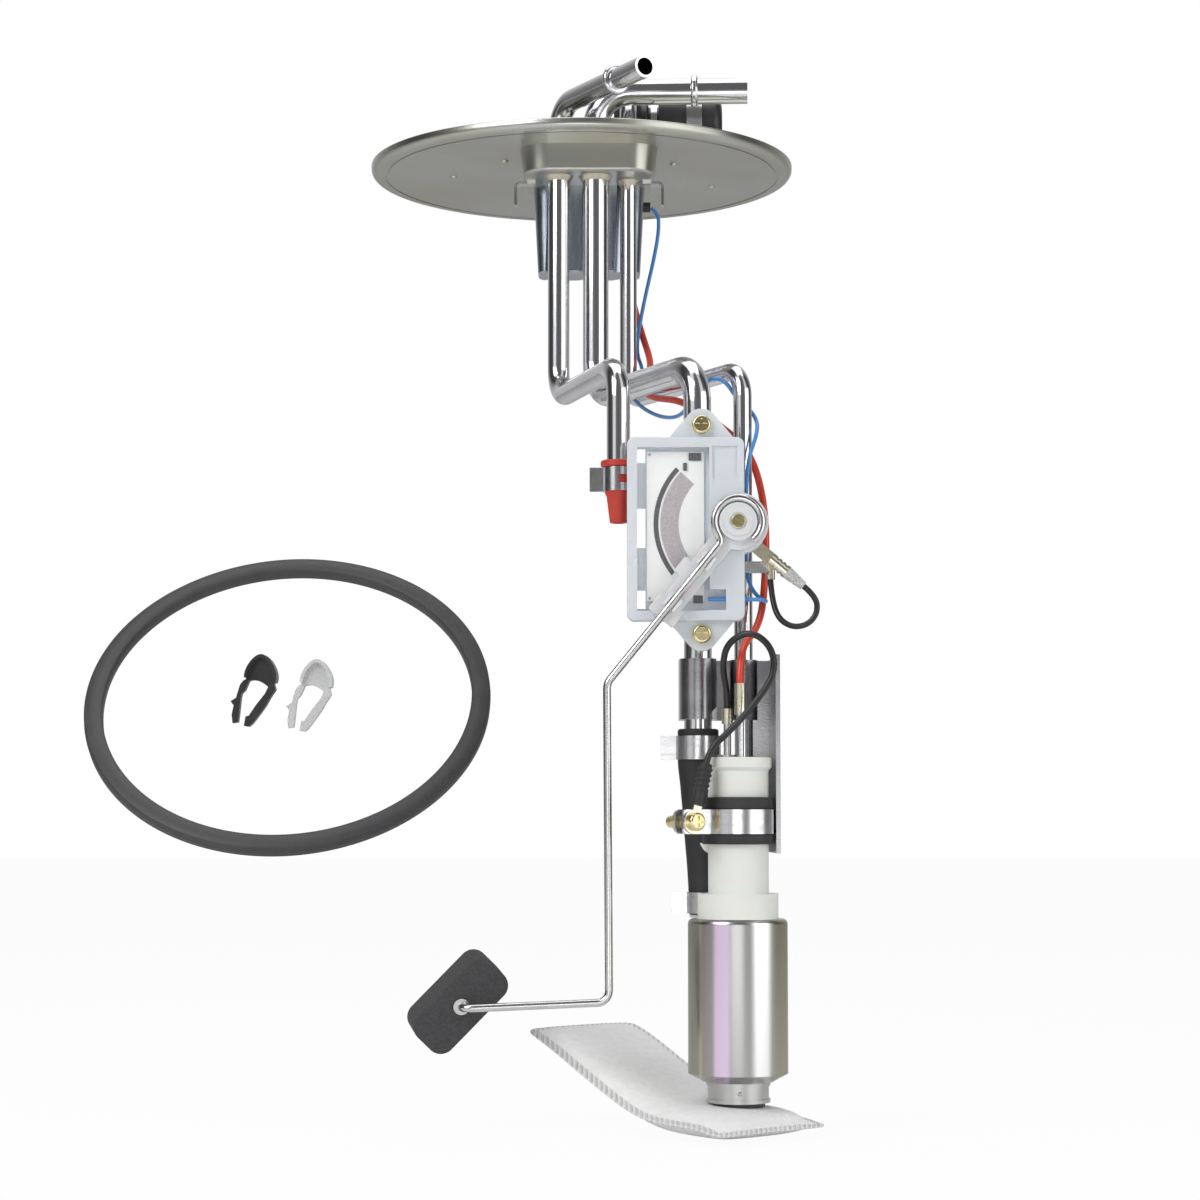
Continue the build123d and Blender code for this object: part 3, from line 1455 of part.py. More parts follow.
with BuildPart() as lead_terminals:
    with BuildSketch(Plane.XY.offset(terminal_plus_top_z)):
        with Locations(post_plus):
            Circle(terminal_r)
            Circle(post_r + tube_fit, mode=Mode.SUBTRACT)
    extrude(amount=-terminal_plus_length)
    with BuildSketch(Plane.XY.offset(terminal_plus_top_z)):
        with Locations(post_plus):
            Circle(terminal_r)
    extrude(amount=crimp_plus_length)
    with BuildSketch(Plane.XY.offset(post_minus_top_z)):
        with Locations(post_minus):
            Circle(terminal_r)
    extrude(amount=terminal_minus_length / 2)
    with BuildSketch(Plane.XY.offset(post_minus_top_z)):
        with Locations(post_minus):
            Circle(terminal_r)
            Circle(post_r + tube_fit, mode=Mode.SUBTRACT)
    extrude(amount=-terminal_minus_length / 2)
    with BuildSketch(front_plane(plate_back_y + tube_fit + lug_wall)):
        with Locations((lug_x, lug_z)):
            Rectangle(lug_length, 0.7 * lug_length, align=(Align.MAX, Align.CENTER))
    extrude(amount=lug_wall)
    with BuildSketch(Plane.XY.offset(lug_z - lug_length)):
        with Locations((lug_x, lug_y)):
            Circle(jumper_r + lug_wall)
            Circle(jumper_r + tube_fit, mode=Mode.SUBTRACT)
    extrude(amount=1.35 * lug_length)
    with BuildSketch(Plane.XY.offset(lug_z + 0.25 * lug_length)):
        with Locations((lug_x, lug_y)):
            Circle(jumper_r + lug_wall)
    extrude(amount=lug_wall)
save(lead_terminals, "lead_terminals")

# Pump's upper end: collar, plug, outlet with its ball seat, and the brush holders
pump_at = (pump_x, pump_y)
outlet_offset = Vector(outlet_x - pump_x, outlet_y - pump_y, 0).normalized()
passage_top = Vector(outlet_x, outlet_y, ball_seat_z - 6.0)
passage_foot = Vector(pump_x, pump_y, plug_foot_z) + outlet_offset * 8.0
passage_way = passage_foot - passage_top
boss_top_z = hose_foot_z - part_fit
boss_foot_z = can_top_z + part_fit
retainer_z = outlet_top_z - 1.6
brush_z = -291.25
holder_foot_z = brush_z - brush_height / 2 - brush_wall
with BuildPart() as pump_end_cap:
    with BuildSketch(Plane.XY.offset(boss_foot_z)):
        with Locations((pump_x, collar_y)):
            Circle(collar_r)
        with Locations(outlet_at):
            Circle(hose_low_r + 3 * clamp_wall, mode=Mode.SUBTRACT)
    extrude(amount=collar_top_z - boss_foot_z)
    with BuildSketch(Plane.XY.offset(boss_foot_z)):
        with Locations(outlet_at):
            Circle(outlet_boss_r)
        with Locations((pump_x, collar_y)):
            Circle(collar_r)
    extrude(amount=boss_top_z - boss_foot_z)
    with BuildSketch(Plane.XY.offset(boss_foot_z)):
        with Locations(outlet_at):
            Circle(outlet_r)
    extrude(amount=outlet_top_z - boss_foot_z)
    with BuildSketch(Plane.XY.offset(can_top_z - can_wall - part_fit)):
        with Locations(pump_at):
            Circle(can_mouth_r - part_fit)
    extrude(amount=can_wall + 2 * part_fit)
    with BuildSketch(Plane.XY.offset(plug_foot_z)):
        with Locations(pump_at):
            Circle(can_r - can_wall - part_fit)
    extrude(amount=can_top_z - can_wall - part_fit - plug_foot_z)
    with BuildSketch(Plane.XY.offset(holder_foot_z)):
        with Locations(pump_at):
            Rectangle(2 * brush_holder_reach, brush_width + 2 * brush_wall)
            Circle(commutator_r + 1.2, mode=Mode.SUBTRACT)
    extrude(amount=plug_foot_z - holder_foot_z)
    with BuildSketch(Plane.XY.offset(brush_z - brush_height / 2 - part_fit)):
        with Locations(pump_at):
            Rectangle(2 * brush_holder_reach - 2 * brush_wall, brush_width + 2 * part_fit)
    extrude(amount=brush_height + 2 * part_fit, mode=Mode.SUBTRACT)
    with BuildSketch(Plane.XY.offset(outlet_top_z)):
        with Locations(outlet_at):
            Circle(ball_r - 0.2)
    extrude(amount=retainer_z - outlet_top_z, mode=Mode.SUBTRACT)
    with BuildSketch(Plane.XY.offset(ball_seat_z)):
        with Locations(outlet_at):
            Circle(outlet_bore_r)
    extrude(amount=retainer_z - ball_seat_z, mode=Mode.SUBTRACT)
    with BuildSketch(Plane.XY.offset(passage_top.Z)):
        with Locations(outlet_at):
            Circle(check_spring_r)
    extrude(amount=ball_seat_z - passage_top.Z, mode=Mode.SUBTRACT)
    with BuildSketch(Plane(origin=passage_top, z_dir=passage_way)):
        Circle(outlet_port_r)
    extrude(amount=passage_way.length + outlet_port_r, mode=Mode.SUBTRACT)
    with BuildSketch(Plane.XY.offset(plug_foot_z)):
        with Locations(pump_at):
            Circle(bearing_r + part_fit)
    extrude(amount=bearing_length, mode=Mode.SUBTRACT)
    with BuildSketch(Plane.XY.offset(plug_foot_z)):
        with Locations(pump_at):
            Circle(shaft_r + part_fit)
    extrude(amount=shaft_top_z + part_fit - plug_foot_z, mode=Mode.SUBTRACT)
save(pump_end_cap, "pump_end_cap")

# Outlet's ball and spring: the ball rests on the seat's rim
ball_rest_z = ball_seat_z + sqrt(ball_r**2 - check_spring_r**2) + part_fit
with BuildPart() as check_ball:
    with Locations((outlet_x, outlet_y, ball_rest_z)):
        Sphere(ball_r)
save(check_ball, "check_ball")

check_spring_mean_r = check_spring_r
spring_foot_z = ball_rest_z + sqrt((ball_r + check_spring_wire_r) ** 2 - check_spring_mean_r**2)
spring_foot_z = spring_foot_z + part_fit
spring_height = retainer_z - check_spring_wire_r - part_fit - spring_foot_z
with BuildPart() as check_spring:
    with BuildLine() as spring_line:
        Helix(
            pitch=spring_height / spring_turns, height=spring_height,
            radius=check_spring_mean_r, center=(outlet_x, outlet_y, spring_foot_z),
        )
    with BuildSketch(start_plane(spring_line.wire())):
        Circle(check_spring_wire_r)
    sweep(path=spring_line.wire())
save(check_spring, "check_spring")

# Pump can: one drawn shell with a rolled lip above and a shoulder below
can_inner_r = can_r - can_wall
with BuildPart() as pump_can:
    with BuildSketch(Plane.XZ.offset(-pump_y)):
        with BuildLine():
            Polyline(
                (pump_x + can_mouth_r, can_top_z), (pump_x + can_r - can_lip_r, can_top_z)
            )
            RadiusArc(
                (pump_x + can_r - can_lip_r, can_top_z), (pump_x + can_r, can_top_z - can_lip_r),
                can_lip_r,
            )
            Polyline(
                (pump_x + can_r, can_top_z - can_lip_r),
                (pump_x + can_r, can_wall_foot_z),
                (pump_x + can_foot_r, can_foot_z),
                (pump_x + neck_r + part_fit, can_foot_z),
                (pump_x + neck_r + part_fit, can_foot_z + can_wall),
                (pump_x + can_foot_r - can_wall * 0.4, can_foot_z + can_wall),
                (pump_x + can_inner_r, can_wall_foot_z),
                (pump_x + can_inner_r, can_top_z - can_wall),
                (pump_x + can_mouth_r, can_top_z - can_wall),
                (pump_x + can_mouth_r, can_top_z),
            )
        make_face()
    revolve(axis=Axis((pump_x, pump_y, 0), (0, 0, 1)))
save(pump_can, "pump_can")

with BuildPart() as inlet_collar:
    with BuildSketch(Plane.XY.offset(neck_foot_z)):
        with Locations(pump_at):
            Circle(neck_r)
    extrude(amount=can_foot_z + can_wall + part_fit - neck_foot_z)
    with BuildSketch(Plane.XY.offset(neck_foot_z + neck_wall)):
        with Locations(pump_at):
            Circle(neck_r)
            Circle(neck_waist_r, mode=Mode.SUBTRACT)
    extrude(amount=can_foot_z - neck_foot_z - 2 * neck_wall, mode=Mode.SUBTRACT)
    with BuildSketch(Plane.XY.offset(can_foot_z + can_wall + part_fit)):
        with Locations(pump_at):
            Circle(neck_r + 2 * part_fit)
    extrude(amount=neck_wall - 2 * part_fit)
    with BuildSketch(Plane.XY.offset(neck_foot_z)):
        with Locations(pump_at):
            Circle(neck_waist_r - neck_wall)
    extrude(amount=can_foot_z - neck_foot_z + 2 * neck_wall + can_wall, mode=Mode.SUBTRACT)
    with Locations((pump_x, pump_y - neck_waist_r, (can_foot_z + neck_foot_z) / 2)):
        Sphere(0.7)
save(inlet_collar, "inlet_collar")

# Motor: magnets, rotor, bearings, brushes
with BuildPart() as magnets:
    with BuildSketch(Plane.XY.offset(magnet_foot_z)):
        with Locations(pump_at):
            Circle(can_inner_r - part_fit)
            Circle(magnet_inner_r, mode=Mode.SUBTRACT)
        for side in (90, 270):
            gap_reach = 2 * can_r
            gap_half = gap_reach * tan(radians(90 - magnet_angle / 2))
            gap_turn = radians(side)
            Polygon(
                pump_at,
                (pump_x - gap_half * sin(gap_turn), pump_y + gap_reach * sin(gap_turn)),
                (pump_x + gap_half * sin(gap_turn), pump_y + gap_reach * sin(gap_turn)),
                align=None, mode=Mode.SUBTRACT,
            )
    extrude(amount=magnet_top_z - magnet_foot_z)
save(magnets, "magnets")

commutator_top_z = brush_z + commutator_length / 2
with BuildPart() as rotor:
    with BuildSketch(Plane.XY.offset(rotor_foot_z)):
        with Locations(pump_at):
            Circle(rotor_r)
            with PolarLocations(rotor_r, rotor_slots):
                Rectangle(rotor_r - winding_r, 1.8, mode=Mode.SUBTRACT)
    extrude(amount=rotor_top_z - rotor_foot_z)
    with BuildSketch(Plane.XY.offset(rotor_foot_z - winding_length)):
        with Locations(pump_at):
            Circle(winding_r)
    extrude(amount=rotor_top_z - rotor_foot_z + 2 * winding_length)
    with BuildSketch(Plane.XY.offset(rotor_top_z)):
        with Locations(pump_at):
            Circle(shaft_r * 2)
    extrude(amount=commutator_top_z - rotor_top_z)
    with BuildSketch(Plane.XY.offset(commutator_top_z - commutator_length)):
        with Locations(pump_at):
            Circle(commutator_r)
            with PolarLocations(commutator_r, rotor_slots, start_angle=180 / rotor_slots):
                Rectangle(1.6, 0.5, mode=Mode.SUBTRACT)
    extrude(amount=commutator_length)
    with BuildSketch(Plane.XY.offset(shaft_foot_z)):
        with Locations(pump_at):
            Circle(shaft_r)
    extrude(amount=shaft_top_z - shaft_foot_z)
    with BuildSketch(Plane.XY.offset(shaft_foot_z)):
        with Locations((pump_x, pump_y + 2 * shaft_r - 0.4)):
            Rectangle(2 * shaft_r, 2 * shaft_r - 0.8, align=(Align.CENTER, Align.CENTER))
    extrude(amount=upper_plate_foot_z - shaft_foot_z, mode=Mode.SUBTRACT)
save(rotor, "rotor")

with BuildPart() as bearings:
    for top_z in (plug_foot_z + bearing_length, upper_plate_top_z + 2 * channel_depth * 0.2):
        with BuildSketch(Plane.XY.offset(top_z)):
            with Locations(pump_at):
                Circle(bearing_r)
                Circle(shaft_r + part_fit, mode=Mode.SUBTRACT)
        extrude(amount=-bearing_length)
save(bearings, "bearings")

brush_spring_start = commutator_r + brush_length + spring_wire_r + part_fit
brush_spring_end = brush_holder_reach - brush_wall - spring_wire_r - part_fit
with BuildPart() as brushes:
    for side in (-1, 1):
        with BuildSketch(Plane.XY.offset(brush_z - brush_height / 2)):
            with Locations((pump_x + side * (commutator_r + brush_length / 2), pump_y)):
                Rectangle(brush_length, brush_width)
            with Locations(pump_at):
                Circle(commutator_r + part_fit, mode=Mode.SUBTRACT)
        extrude(amount=brush_height)
    for side in (-1, 1):
        with BuildLine() as spring_line:
            Helix(
                pitch=(brush_spring_end - brush_spring_start) / spring_turns,
                height=brush_spring_end - brush_spring_start, radius=spring_r,
                center=(pump_x + side * brush_spring_start, pump_y, brush_z),
                direction=(side, 0, 0),
            )
        with BuildSketch(start_plane(spring_line.wire())):
            Circle(spring_wire_r)
        sweep(path=spring_line.wire())
save(brushes, "brushes")

# Pump stage: the impeller between two plates with their side channels and ports
lower_plate_top_z = upper_plate_foot_z - impeller_thick - 2 * impeller_gap
with BuildPart() as pump_plates:
    with BuildSketch(Plane.XY.offset(upper_plate_foot_z)):
        with Locations(pump_at):
            Circle(can_inner_r - part_fit)
            Circle(shaft_r + part_fit, mode=Mode.SUBTRACT)
    extrude(amount=upper_plate_top_z - upper_plate_foot_z)
    with BuildSketch(Plane.XY.offset(upper_plate_top_z)):
        with Locations(pump_at):
            Circle(bearing_r + part_fit)
    extrude(amount=-bearing_length + 0.4 - part_fit, mode=Mode.SUBTRACT)
    with BuildSketch(Plane.XY.offset(lower_plate_foot_z)):
        with Locations(pump_at):
            Circle(can_inner_r - part_fit)
    extrude(amount=upper_plate_foot_z - part_fit - lower_plate_foot_z)
    with BuildSketch(Plane.XY.offset(lower_plate_top_z)):
        with Locations(pump_at):
            Circle(impeller_r + impeller_gap)
    extrude(amount=upper_plate_foot_z - lower_plate_top_z, mode=Mode.SUBTRACT)
    with BuildSketch(Plane.XY.offset(lower_rim_foot_z)):
        with Locations(pump_at):
            Circle(neck_r)
            Circle(neck_waist_r - neck_wall, mode=Mode.SUBTRACT)
    extrude(amount=lower_plate_foot_z - lower_rim_foot_z)
    with BuildSketch(Plane.XY.offset(lower_plate_top_z)):
        with Locations(pump_at):
            Circle(shaft_r + part_fit)
    extrude(amount=shaft_foot_z - part_fit - lower_plate_top_z, mode=Mode.SUBTRACT)
    for channel_z in (upper_plate_foot_z, lower_plate_top_z - channel_depth):
        with BuildSketch(Plane.XY.offset(channel_z)):
            with Locations(pump_at):
                Circle(port_at + channel_width / 2)
                Circle(port_at - channel_width / 2, mode=Mode.SUBTRACT)
                Rectangle(
                    can_r, port_at, rotation=45, align=(Align.MIN, Align.CENTER),
                    mode=Mode.SUBTRACT,
                )
        extrude(amount=channel_depth, mode=Mode.SUBTRACT)
    with BuildSketch(Plane.XY.offset(lower_plate_foot_z)):
        with Locations((pump_x + port_at * cos(radians(90)), pump_y + port_at)):
            Circle(channel_width / 2)
    extrude(amount=lower_plate_top_z - lower_plate_foot_z, mode=Mode.SUBTRACT)
    with BuildSketch(Plane.XY.offset(upper_plate_foot_z)):
        with Locations((pump_x + port_at, pump_y)):
            Circle(channel_width / 2)
    extrude(amount=upper_plate_top_z - upper_plate_foot_z, mode=Mode.SUBTRACT)
save(pump_plates, "pump_plates")

with BuildPart() as impeller:
    with BuildSketch(Plane.XY.offset(upper_plate_foot_z - impeller_gap)):
        with Locations(pump_at):
            Circle(impeller_r)
    extrude(amount=-impeller_thick)
    for vane_z, way in (
        (upper_plate_foot_z - impeller_gap, -1),
        (upper_plate_foot_z - impeller_gap - impeller_thick, 1),
    ):
        with BuildSketch(Plane.XY.offset(vane_z)):
            with Locations(pump_at):
                with PolarLocations(impeller_r - 2.0, impeller_vanes):
                    Rectangle(3.0, vane_depth)
        extrude(amount=way * impeller_thick * 0.4, mode=Mode.SUBTRACT)
    with BuildSketch(Plane.XY.offset(upper_plate_foot_z)):
        with Locations(pump_at):
            Circle(shaft_r + part_fit)
        with Locations((pump_x, pump_y + 2 * shaft_r - 0.4 + 2 * part_fit)):
            Rectangle(
                2 * shaft_r + 4 * part_fit, 2 * shaft_r - 0.8, align=(Align.CENTER, Align.CENTER),
                mode=Mode.SUBTRACT,
            )
    extrude(amount=-2 * impeller_thick, mode=Mode.SUBTRACT)
save(impeller, "impeller")

# Strainer: a welded pillow bag on a frame whose spigot enters the pump's neck
sock_along = Vector(cos(radians(sock_turn)), sin(radians(sock_turn)), 0)
sock_across = Vector(sock_along.Y, -sock_along.X, 0) * -1
sock_near = Vector(sock_near_x, sock_near_y, 0)


def sock_section(station, level, half_width, half_thick):
    """One cross-section of the bag, flat at its welded edges."""
    origin = sock_near + sock_along * station + Vector(0, 0, level)
    edge = min(sock_edge / 2, half_thick)
    with BuildSketch(Plane(origin=origin, x_dir=sock_across, z_dir=sock_along)) as section:
        with BuildLine():
            for way in (1, -1):
                Line((-half_width, 0), (-half_width, way * edge))
                Spline(
                    (-half_width, way * edge),
                    (-half_width + sock_weld, way * edge),
                    (-half_width * 0.78, way * (edge + (half_thick - edge) * 0.6)),
                    (-half_width * 0.6, way * (edge + (half_thick - edge) * 0.88)),
                    (0, way * half_thick),
                    (half_width * 0.6, way * (edge + (half_thick - edge) * 0.88)),
                    (half_width * 0.78, way * (edge + (half_thick - edge) * 0.6)),
                    (half_width - sock_weld, way * edge),
                    (half_width, way * edge),
                )
                Line((half_width, way * edge), (half_width, 0))
        make_face()
    return section.sketch.face()


outer_sections = [
    sock_section(station, level, sock_width / 2, thick / 2) for station, level, thick in sock_stations
]
inner_sections = [
    sock_section(station, level, sock_width / 2 - sock_margin, thick / 2 - sock_wall)
    for station, level, thick in sock_stations
    if thick > 3 * sock_wall
]
with BuildPart() as strainer_sock:
    loft(outer_sections, ruled=True)
    sock_middle = sock_near + sock_along * sock_length / 2
    with BuildSketch(Plane.XY.offset(sock_stations[0][1] - 2 * sock_width)):
        with Locations((sock_middle.X, sock_middle.Y)):
            RectangleRounded(sock_length, sock_width, sock_corner_r, rotation=sock_turn)
    extrude(amount=4 * sock_width, mode=Mode.INTERSECT)
    loft(inner_sections, ruled=True, mode=Mode.SUBTRACT)
    with BuildSketch(Plane.XY.offset(flange_top_z - skeleton_thick)):
        with Locations(pump_at):
            Circle(neck_waist_r - neck_wall)
    extrude(amount=neck_foot_z - flange_top_z + 2 * skeleton_thick, mode=Mode.SUBTRACT)
save(strainer_sock, "strainer_sock")

spigot_r = neck_waist_r - neck_wall - part_fit
skeleton_at = Vector(*pump_at) + sock_along * skeleton_shift
with BuildPart() as sock_frame:
    with BuildSketch(Plane.XY.offset(flange_top_z - skeleton_thick)):
        with Locations(pump_at):
            Circle(flange_r)
        with Locations((skeleton_at.X, skeleton_at.Y)):
            Rectangle(skeleton_length, skeleton_width, rotation=sock_turn)
        with Locations(pump_at):
            Circle(spigot_r - spigot_wall, mode=Mode.SUBTRACT)
    extrude(amount=skeleton_thick)
    with BuildSketch(Plane.XY.offset(flange_top_z)):
        with Locations(pump_at):
            Circle(spigot_r)
            Circle(spigot_r - spigot_wall, mode=Mode.SUBTRACT)
    extrude(amount=spigot_top_z - flange_top_z)
    for along in (-1, 1):
        leg_at = skeleton_at + sock_along * along * (skeleton_length / 2 - skeleton_leg)
        with BuildSketch(Plane.XY.offset(flange_top_z - skeleton_thick)):
            with Locations((leg_at.X, leg_at.Y)):
                Rectangle(skeleton_leg, skeleton_width * 0.6, rotation=sock_turn)
        extrude(amount=-skeleton_leg_height)
save(sock_frame, "sock_frame")

# Leads: each is straight runs joined by wide arcs, and its radii are printed
turn_share = 0.45


def lead_path(name, points):
    """Route of a lead with the widest bends that its runs allow."""
    places = [Vector(point) for point in points]
    radii = []
    for before, corner, after in zip(places, places[1:], places[2:]):
        turn = radians((corner - before).get_angle(after - corner))
        shorter = min((corner - before).length, (after - corner).length)
        radii.append(turn_share * shorter / tan(turn / 2))
    print(name, "bend radii", [round(radius, 1) for radius in radii])
    return smooth_path(places, radii)


def lead_tube(name, points, radius):
    """Swept lead, saved under its name, with its length printed."""
    path = lead_path(name, points)
    with BuildPart() as lead:
        with BuildSketch(start_plane(path)):
            Circle(radius)
        sweep(path=path)
    print(name, "length", round(path.length, 1), "tube", round(path.length * pi * radius**2, 1))
    print(name, "volume", round(lead.part.volume, 1))
    save(lead, name)


red_points = [
    (red_exit_x, red_exit_y, -44.3), (18.6, -25.3, -50.0), (23.0, -26.8, -66.0),
    (26.4, -40.0, -79.0), (24.4, -52.0, -85.5), (21.8, -60.5, -90.5), (25.2, -71.0, -96.5),
    (36.6, -95.0, -101.0), (48.0, -107.0, -111.0), (59.6, -108.5, -120.6),
    (64.4, -117.5, -143.5), (63.4, -118.5, -172.0), (60.5, -130.0, -183.5),
    (54.5, -144.5, -190.5), (*post_plus, -199.3),
    (*post_plus, terminal_plus_top_z + crimp_plus_length),
]
lead_tube("red_lead", red_points, red_r)

blue_points = [
    (26.7, blue_exit_y, -16.7), (28.7, -24.0, -18.7), (29.6, -24.3, -22.0),
    (28.6, -25.5, -32.0), (23.2, -30.6, -56.0), (20.4, -31.6, -73.0), (23.5, -39.5, -82.0),
    (20.8, -48.5, -88.0), (18.2, -57.0, -93.0), (22.0, -67.0, -99.5), (29.0, -80.0, -105.0),
    (35.0, -95.0, -107.0), (38.5, -103.5, -103.5), (42.0, -107.8, -98.0), (46.0, -112.0, -95.4),
    (50.5, -113.0, -96.8), (54.5, -110.3, -102.5), (61.0, -110.8, -108.5), (61.6, -117.5, -115.0),
    (57.0, -122.3, -127.0), (57.0, -122.3, -160.0), (57.6, -122.3, -167.0),
    (59.6, -122.6, -171.2), (62.3, -124.5, -173.8), (63.6, -127.8, -174.6),
    (62.5, -131.15, -174.4), (59.6, blue_tunnel_y, blue_tunnel_z),
    (pad_x + pad_width, blue_tunnel_y, blue_tunnel_z),
]
lead_tube("blue_lead", blue_points, blue_r)

ground_points = [
    tuple(boot_top), tuple(boot_top + eyelet_up * 5.0), (50.0, -156.0, -219.0),
    (58.5, -156.5, -209.5), (64.6, -156.0, -200.5), (63.6, -155.5, -191.5),
    (56.5, -154.0, -186.0), (49.0, -150.5, -190.0), (47.6, -146.0, -198.0),
    (*post_minus, -206.0), (*post_minus, post_minus_top_z + terminal_minus_length / 2),
]
lead_tube("ground_lead", ground_points, ground_r)

jumper_start = sleeve_end + ground_out * 5.4
jumper_points = [
    tuple(sleeve_end), tuple(jumper_start),
    (jumper_start.X + 0.6, jumper_start.Y, jumper_start.Z - 5.4),
    (jumper_start.X - 2.7, jumper_start.Y, jumper_start.Z - 9.6),
    (jumper_start.X - 8.1, -131.3, jumper_start.Z - 10.4), (67.1, -129.3, -180.2),
    (65.3, -126.8, -172.5), (lug_x, lug_y, lug_z - lug_length),
]
lead_tube("jumper_lead", jumper_points, jumper_r)

# Loose kit: lid seal, and two duck-bill clips of one shape
seal_across = Vector(1, 0, 0)
seal_plane = Plane(origin=seal_centre, x_dir=seal_across, z_dir=seal_normal.cross(seal_across))
with BuildPart() as seal_ring:
    with BuildSketch(seal_plane):
        with Locations(((seal_outer_r + seal_inner_r) / 2, 0)):
            RectangleRounded(seal_outer_r - seal_inner_r, seal_thick, seal_round)
    revolve(axis=Axis(tuple(seal_centre), tuple(seal_normal)))
save(seal_ring, "seal_ring")

for clip_name, clip_at in (("black_clip", black_clip_at), ("white_clip", white_clip_at)):
    clip_plane = Plane(origin=clip_at, x_dir=(1, 0, 0), z_dir=(0, -1, 0))
    with BuildPart() as line_clip:
        with BuildSketch(clip_plane):
            with BuildLine():
                Spline((-3.0, 4.0), (-2.0, 8.4), (3.05, 12.8), (7.2, 8.6), (7.8, 2.0))
                Polyline(
                    (7.8, 2.0), (8.4, 0.0), (6.3, -3.2), (4.7, -6.1), (2.7, -9.0), (-0.5, -13.2),
                    (-1.8, -14.3), (-3.7, -14.0), (-3.1, -10.4), (-1.8, -10.0), (0.8, -6.1),
                    (4.3, -1.6), (5.5, 1.0),
                )
                Spline((5.5, 1.0), (3.1, 2.7), (-0.5, 3.6), (-1.9, 3.2))
                Polyline(
                    (-1.9, 3.2), (-3.4, -0.3), (-4.7, -1.6), (-5.0, -3.2), (-5.6, -9.0),
                    (-6.0, -12.6), (-8.05, -12.9), (-8.4, -9.7), (-7.7, -6.1), (-8.9, -4.5),
                    (-6.8, -3.2), (-5.3, 1.9), (-4.0, 3.5), (-3.0, 4.0),
                )
            make_face()
        extrude(amount=clip_depth / 2, both=True)
        with BuildSketch(clip_plane):
            with BuildLine():
                Spline((-3.6, 4.6), (-2.6, 8.6), (3.1, 13.5), (7.8, 9.0), (8.4, 2.6))
                Line((8.4, 2.6), (8.4 - hood_thick, 2.6))
                Spline((8.4 - hood_thick, 2.6), (6.6, 8.2), (3.0, 12.1), (-1.5, 8.0), (-2.4, 4.6))
                Line((-2.4, 4.6), (-3.6, 4.6))
            make_face()
        extrude(amount=hood_depth / 2, both=True)
    save(line_clip, clip_name)
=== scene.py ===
"""Looks of the hanging fuel pump module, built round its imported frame."""

import logging
import math
from dataclasses import dataclass
from enum import Enum
from typing import Iterable, Sequence

import bpy
from mathutils import Matrix, Vector


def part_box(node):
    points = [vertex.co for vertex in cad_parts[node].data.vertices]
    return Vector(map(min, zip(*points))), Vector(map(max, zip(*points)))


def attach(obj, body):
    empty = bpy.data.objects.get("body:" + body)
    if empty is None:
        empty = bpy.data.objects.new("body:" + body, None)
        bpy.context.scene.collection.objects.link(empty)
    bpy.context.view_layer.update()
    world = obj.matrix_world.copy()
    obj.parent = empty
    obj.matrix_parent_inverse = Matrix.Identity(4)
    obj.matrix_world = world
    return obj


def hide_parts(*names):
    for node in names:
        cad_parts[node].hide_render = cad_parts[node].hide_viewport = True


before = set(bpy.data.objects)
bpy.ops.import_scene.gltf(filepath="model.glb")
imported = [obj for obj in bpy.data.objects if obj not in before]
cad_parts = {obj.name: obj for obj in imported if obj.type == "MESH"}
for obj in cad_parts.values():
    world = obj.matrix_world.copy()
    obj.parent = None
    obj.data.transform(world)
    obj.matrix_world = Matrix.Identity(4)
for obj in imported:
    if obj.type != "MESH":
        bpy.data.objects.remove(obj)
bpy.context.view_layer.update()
log = logging.getLogger("fuel_pump_module")

MM = 0.001
SAME_PLACE = 0.000002
SCATTER_DEPTH = 0.002
PATTERN_LOW = 0.35
PATTERN_HIGH = 0.7
SMOOTH_ANGLE = 40.0
CURVE_STEPS = 16
BEVEL_STEPS = 5
MIX_FACTOR = 0
MIX_FIRST = 6
MIX_SECOND = 7
MIX_RESULT = 2
WHITE = (1.0, 1.0, 1.0, 1.0)
Point = tuple[float, float, float]
Ring = tuple[float, float, float, float]


class Body(Enum):
    """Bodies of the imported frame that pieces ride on."""

    MODULE = "module"


class Texture(Enum):
    """Kinds of surface pattern that a finish can carry."""

    NOISE = "ShaderNodeTexNoise"
    CELLS = "ShaderNodeTexVoronoi"
    WAVES = "ShaderNodeTexWave"


def metres(point: Sequence[float]) -> Vector:
    """Turn a point in millimetres into a vector in metres.

    Args:
        point: The point, in millimetres.

    Returns:
        The vector, in metres.
    """
    return Vector(point) * MM


def fill_ramp(ramp: bpy.types.Node, stops: Sequence[tuple[float, Point]]) -> None:
    """Set the stops of a colour ramp.

    Args:
        ramp: The ramp's node.
        stops: Place from 0 to 1 and colour of each stop, in order.
    """
    while len(ramp.color_ramp.elements) < len(stops):
        ramp.color_ramp.elements.new(0.5)
    for element, (at, colour) in zip(ramp.color_ramp.elements, stops):
        element.position = at
        element.color = (*colour, 1.0)


